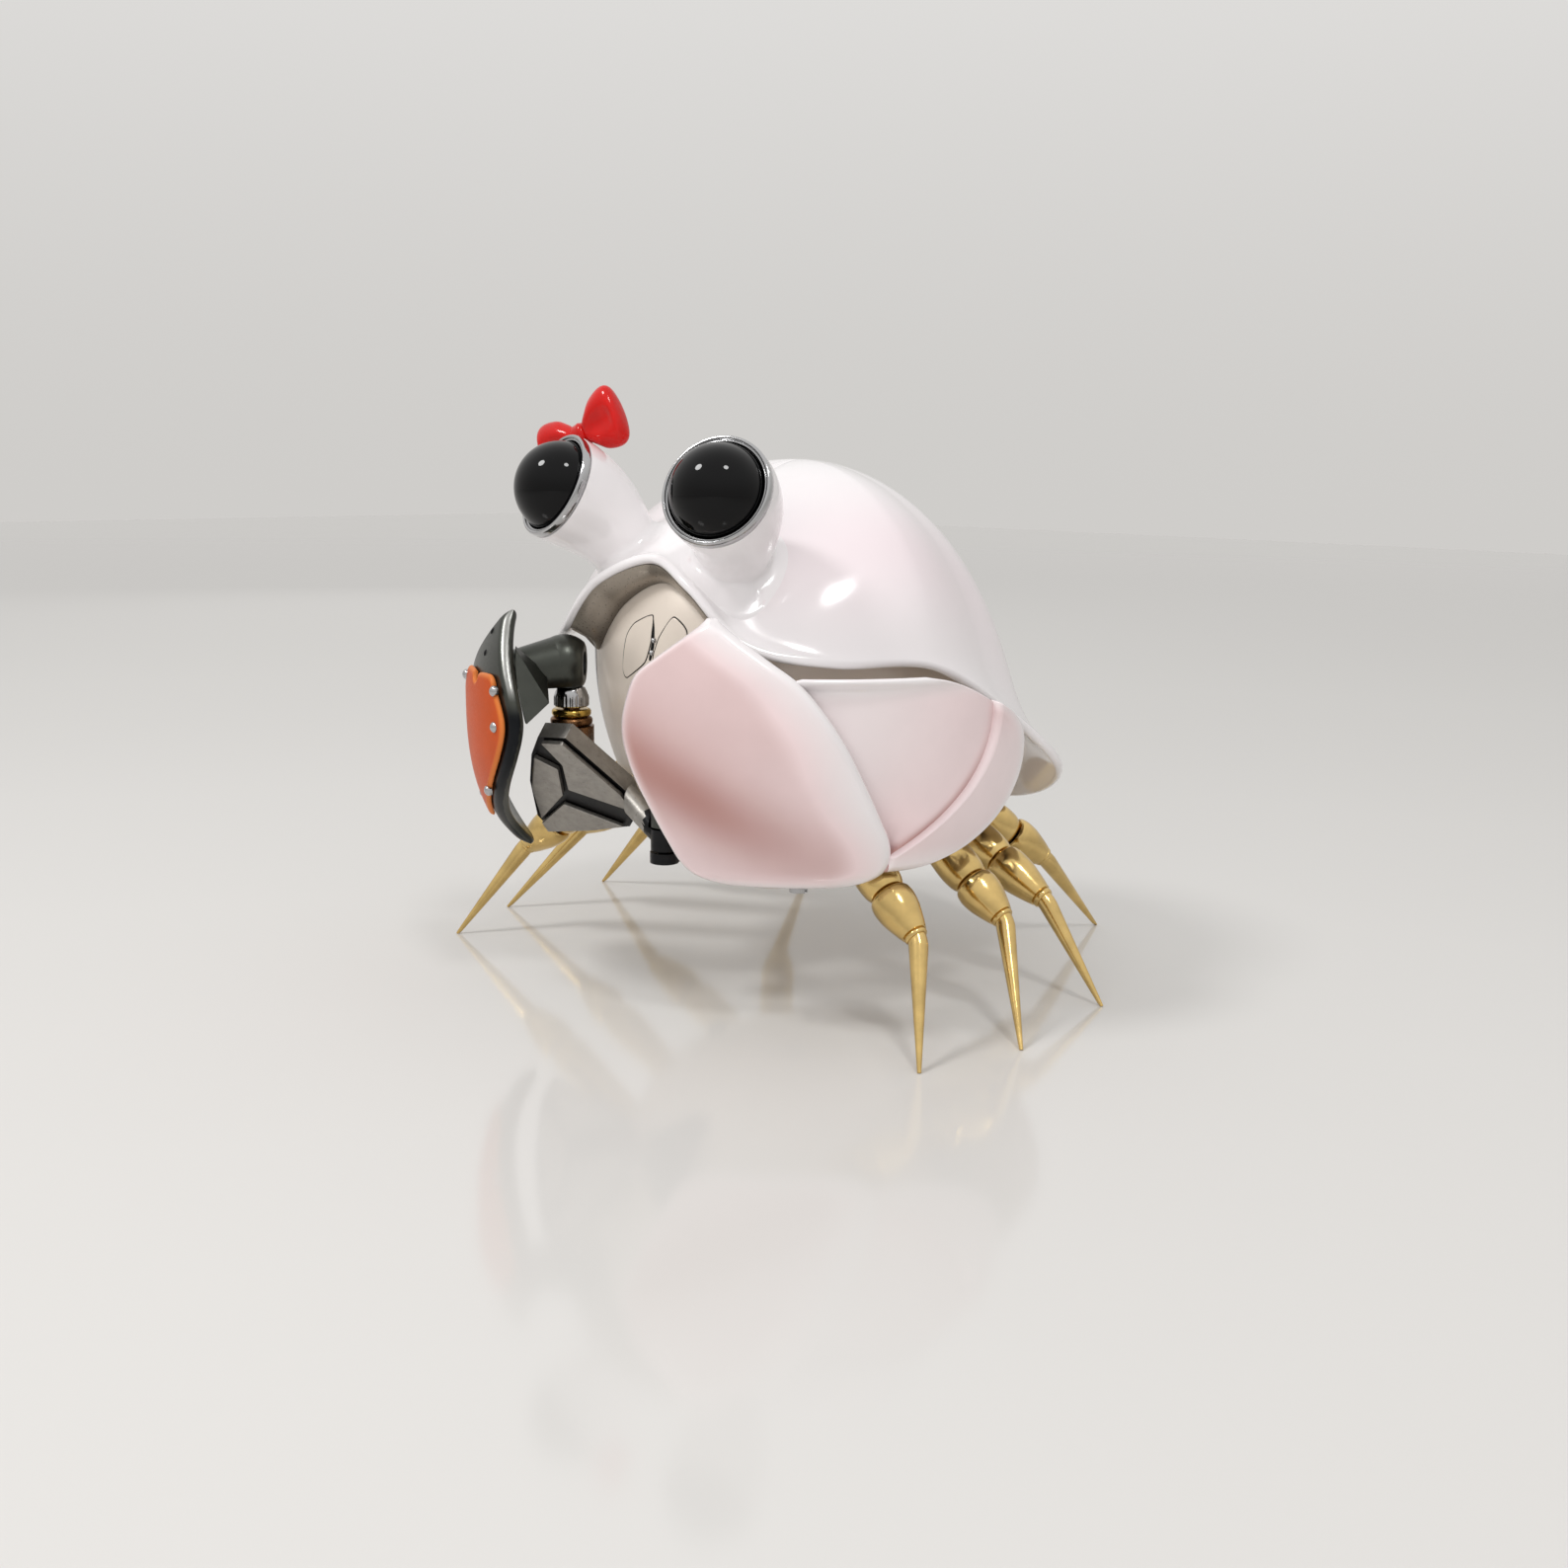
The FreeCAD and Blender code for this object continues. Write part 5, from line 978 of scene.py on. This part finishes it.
class CRAB_OT_grey_claw(Operator):
    """Builds the shield, the orange panel, the rivets, the drum, the knurled nut and the rings of the wrist"""
    bl_idname = "crab.grey_claw"
    bl_label = "Grey claw"

    def execute(self, context):
        faces, angle, z, rim = shell(shield_point, SHIELD, SHIELD_THICKNESS, 1.3, steps=(110, 120))
        # darker along the inner edge below the horn, and brightened along it above: a paler bevel with a painted
        # highlight
        inner = angle - edges_at(SHIELD, z)[0]
        band = ((1 - ease((inner - 2.4) / 0.6)) * ease((42.5 - z) / 2)
                - 0.7 * (1 - ease((inner - 0.5) / 0.4)) * ease((z - 42.5) / 2))
        # two dark pills on the horn, painted as the shade inside its slots
        slots = []
        for height in (51.2, 48.2):
            rise = height + np.linspace(-0.5, 0.5, 9)
            radius = 0.26 * np.sqrt(np.clip(1 - np.linspace(-1, 1, 9) ** 2, 0.01, 1))
            slots.append(tube(shield_point(26.0 + 0 * rise, rise, 0.06), radius, 16))
        piece("horn_slots", slots, "dark_steel", body="grey_claw_link", sharp=60)
        piece("shield", faces, "gunmetal", "grey_shield", "grey_claw_link", tint=(band, band * 0), sharp=60)
        share = np.linspace(0, 1, 24)
        inner, outer = edges_at(SHIELD, PANEL_BOTTOM + PANEL_HEIGHT * share)
        rows = np.stack([share, inner + PANEL_EDGE, outer - PANEL_EDGE], 1)

        def notched(angle, z, depth):
            """The bowl's point after the top is drawn down to a round notch between two rounded tabs."""
            across = (angle - NOTCH_ANGLE) * PANEL_ARC
            dip = np.sqrt(np.clip(NOTCH_RADIUS ** 2 - across ** 2, 0, None)) + 0.35 * bell(across / 1.9)
            ends = np.minimum(angle - rows[-1, 1], rows[-1, 2] - angle) * PANEL_ARC
            corner = 1.7 * (1 - half_round(ends, 1.7))
            share = np.clip((z - PANEL_BOTTOM) / PANEL_HEIGHT, 0, 1)
            return shield_point(angle, z - (dip + corner) * share ** 5, depth)

        faces, angle, z, rim = shell(notched, (rows, PANEL_BOTTOM, PANEL_HEIGHT), PANEL_THICKNESS, 0.55,
                                     depth=lambda a, h: -PANEL_THICKNESS - SEAT + 0 * a, steps=(150, 110))
        pale = (1 - ease(rim / 0.9)) * 0.7
        piece("orange_plate", faces, "orange_enamel", "orange_panel", "grey_claw_link", tint=(pale, pale), sharp=60)
        heads = []
        dome = curve([(-0.35, 0.72), (0.0, 0.75), (0.22, 0.68), (0.42, 0.45), (0.53, 0.2), (0.55, 0)], 20)
        for angle, z in RIVETS:
            a, h = np.array(angle, float), np.array(z, float)
            foot = shield_point(a, h, -PANEL_THICKNESS - SEAT)
            way = np.cross(shield_point(a + 0.5, h, 0) - shield_point(a - 0.5, h, 0),
                           shield_point(a, h + 0.3, 0) - shield_point(a, h - 0.3, 0))
            way = way * np.sign(np.dot(way, foot - (-5.0, 2.0, foot[2])))
            heads.append(turned(np.concatenate([[(-0.35, 0)], dome]), foot, way, 32))
        piece("rivet_heads", heads, "polished_steel", "shield_rivets", "grey_claw_link")
        # the drum: a ball cut flat, with a rounded mouth in the flat
        back = np.linspace(pi, acos(DRUM_FLAT / DRUM_RADIUS) + 0.06, 60)
        profile = ([(DRUM_RADIUS * cos(b), DRUM_RADIUS * sin(b)) for b in back]
                   + [(DRUM_FLAT + h, r) for h, r in DRUM_MOUTH])
        way = np.array([cos(DRUM_HEADING), sin(DRUM_HEADING), 0])
        drum = turned(profile, DRUM, way, 96)
        # the root: a cone out of the drum towards the shield, its radius falling evenly
        reach = np.linalg.norm(DRUM_ROOT - DRUM)
        cone = [(reach * h, DRUM_RADIUS - 0.02 + (DRUM_ROOT_RADIUS - DRUM_RADIUS) * h) for h in np.linspace(0, 1, 24)]
        root = turned([(0, 0)] + cone + [(reach, 0)], DRUM, DRUM_ROOT - DRUM, 96)
        root = root - way * np.maximum(np.sum((root - DRUM) * way, -1, keepdims=True) - (DRUM_FLAT - DRUM_RECESS), 0)
        for grid in (drum, root):
            grid[..., 2] = np.maximum(grid[..., 2], NUT_LOW + NUT_HEIGHT + SEAT)
        # painted shade: the walls and floor of the drum's mouth take the dark colour
        dark = np.broadcast_to((np.arange(len(profile)) > len(profile) - 5)[:, None] * 1.0, drum.shape[:2])
        piece("drum", [drum, root], "gunmetal", "wrist_drum", "grey_claw_link", tint=(dark, 0 * root[..., 0]),
              sharp=35)
        ridged, plain = (turned(NUT, WRIST + (0, 0, NUT_LOW), (0, 0, 1), 8 * NUT_RIDGES, NUT_RIDGES, deep)
                         for deep in (0.07, 0.0))
        keep = np.array([h > 1.6 or r <= NUT_BORE for h, r in NUT])[:, None, None]
        piece("knurled_cap", [np.where(keep, plain, ridged)], "polished_steel", "knurled_nut", "grey_claw_link",
              sharp=30)
        for name, node, low, radius, height, slot in (
                ("copper_washer", "wrist_washer", WASHER_LOW, 3.0, 1.2, "copper"),
                ("brass_collar", "brass_ring", BRASS_LOW, 2.8, 1.1, "brass")):
            r = height * 0.42
            bore = NUT_BORE + 0.01
            rim = ([(0, bore), (0, radius - r)]
                   + [(r - r * cos(a), radius - r + r * sin(a)) for a in np.linspace(0.2, 1.57, 7)])
            rim += [(height - r + r * sin(a), radius - r + r * cos(a)) for a in np.linspace(0, 1.4, 7)]
            rim += [(height, radius - r), (height, bore), (0, bore)]
            piece(name, [turned(rim, WRIST + (0, 0, low), (0, 0, 1), 72)], slot, node, "grey_arm_link", sharp=35)
        return {"FINISHED"}


class CRAB_OT_arms(Operator):
    """Finishes the flat-sided pieces: the polished facet, the faceted arm with its plates, and the hidden solids"""
    bl_idname = "crab.arms"
    bl_label = "Arms and hidden pieces"

    def execute(self, context):
        recoat(softened("facet", "horn_facet", "polished_steel", "grey_claw_link", 0.3).data, "burnished gunmetal")
        block = softened("arm_block", "grey_arm", "faceted_steel", "grey_arm_link", 0.2, sharp=35)
        # the sunk ground between the plates faces out of the arm and is painted dark as shade, and the hinge is dark
        # too; the boss is tarnished
        for name in ("oxidised dark steel", "tarnished copper"):
            block.data.materials.append(bpy.data.materials[name])
        facing = np.array([f.normal[:] for f in block.data.polygons]) @ unit((0.19, -0.72, -0.67))
        middle = np.array([f.center[:] for f in block.data.polygons]) * 1000 - SHIFT
        hinge = np.hypot(*(middle[:, :2] - SHOULDER).T) < SHOULDER_ROOM
        boss = (np.hypot(*(middle - WRIST)[:, :2].T) < BOSS_ROOM) & (middle[:, 2] > BOSS_FOOT)
        block.data.polygons.foreach_set("material_index", np.where(boss, 2, (facing > 0.9) | hinge).astype(np.int32))
        for name in ("high", "middle", "low"):
            softened("plate_" + name, "arm_plate_" + name, "faceted_steel", "grey_arm_link", 0.22)
        for node, name in (("belly_plate", "satin champagne nickel"), ("belly_screws", "mirror polished steel"),
                           ("chassis", "oxidised dark steel"), ("shoulder_bracket", "oxidised dark steel"),
                           ("pink_arm", "burnished gunmetal"), ("pink_hub", "burnished gunmetal")):
            recoat(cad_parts[node].data, name)
        return {"FINISHED"}


class CRAB_PT_panel(Panel):
    """Sizes, colours and builders of the crab"""
    bl_idname = "CRAB_PT_panel"
    bl_label = "Crab figurine"
    bl_space_type = "VIEW_3D"
    bl_region_type = "UI"
    bl_category = "Crab"

    def draw(self, context):
        for group in (context.scene.crab_sizes, context.scene.crab_colours):
            box = self.layout.box()
            for key in group.__annotations__:
                box.prop(group, key)
        for builder in BUILDERS:
            self.layout.operator(builder.bl_idname)


BUILDERS = (CRAB_OT_stage, CRAB_OT_hood, CRAB_OT_eyes, CRAB_OT_bow, CRAB_OT_body, CRAB_OT_legs, CRAB_OT_pink_claw,
            CRAB_OT_grey_claw, CRAB_OT_arms)
CLASSES = (CrabSizes, CrabColours, *BUILDERS, CRAB_PT_panel)


def register():
    """Adds the settings, builders and panel."""
    for c in CLASSES:
        bpy.utils.register_class(c)
    bpy.types.Scene.crab_sizes = PointerProperty(type=CrabSizes)
    bpy.types.Scene.crab_colours = PointerProperty(type=CrabColours)


def unregister():
    """Removes them again."""
    del bpy.types.Scene.crab_colours
    del bpy.types.Scene.crab_sizes
    for c in reversed(CLASSES):
        bpy.utils.unregister_class(c)


def main():
    """Builds the figurine and its stage."""
    register()
    make_finishes()
    for builder in BUILDERS:
        group, name = builder.bl_idname.split(".")
        getattr(getattr(bpy.ops, group), name)()


if __name__ == "__main__":
    main()
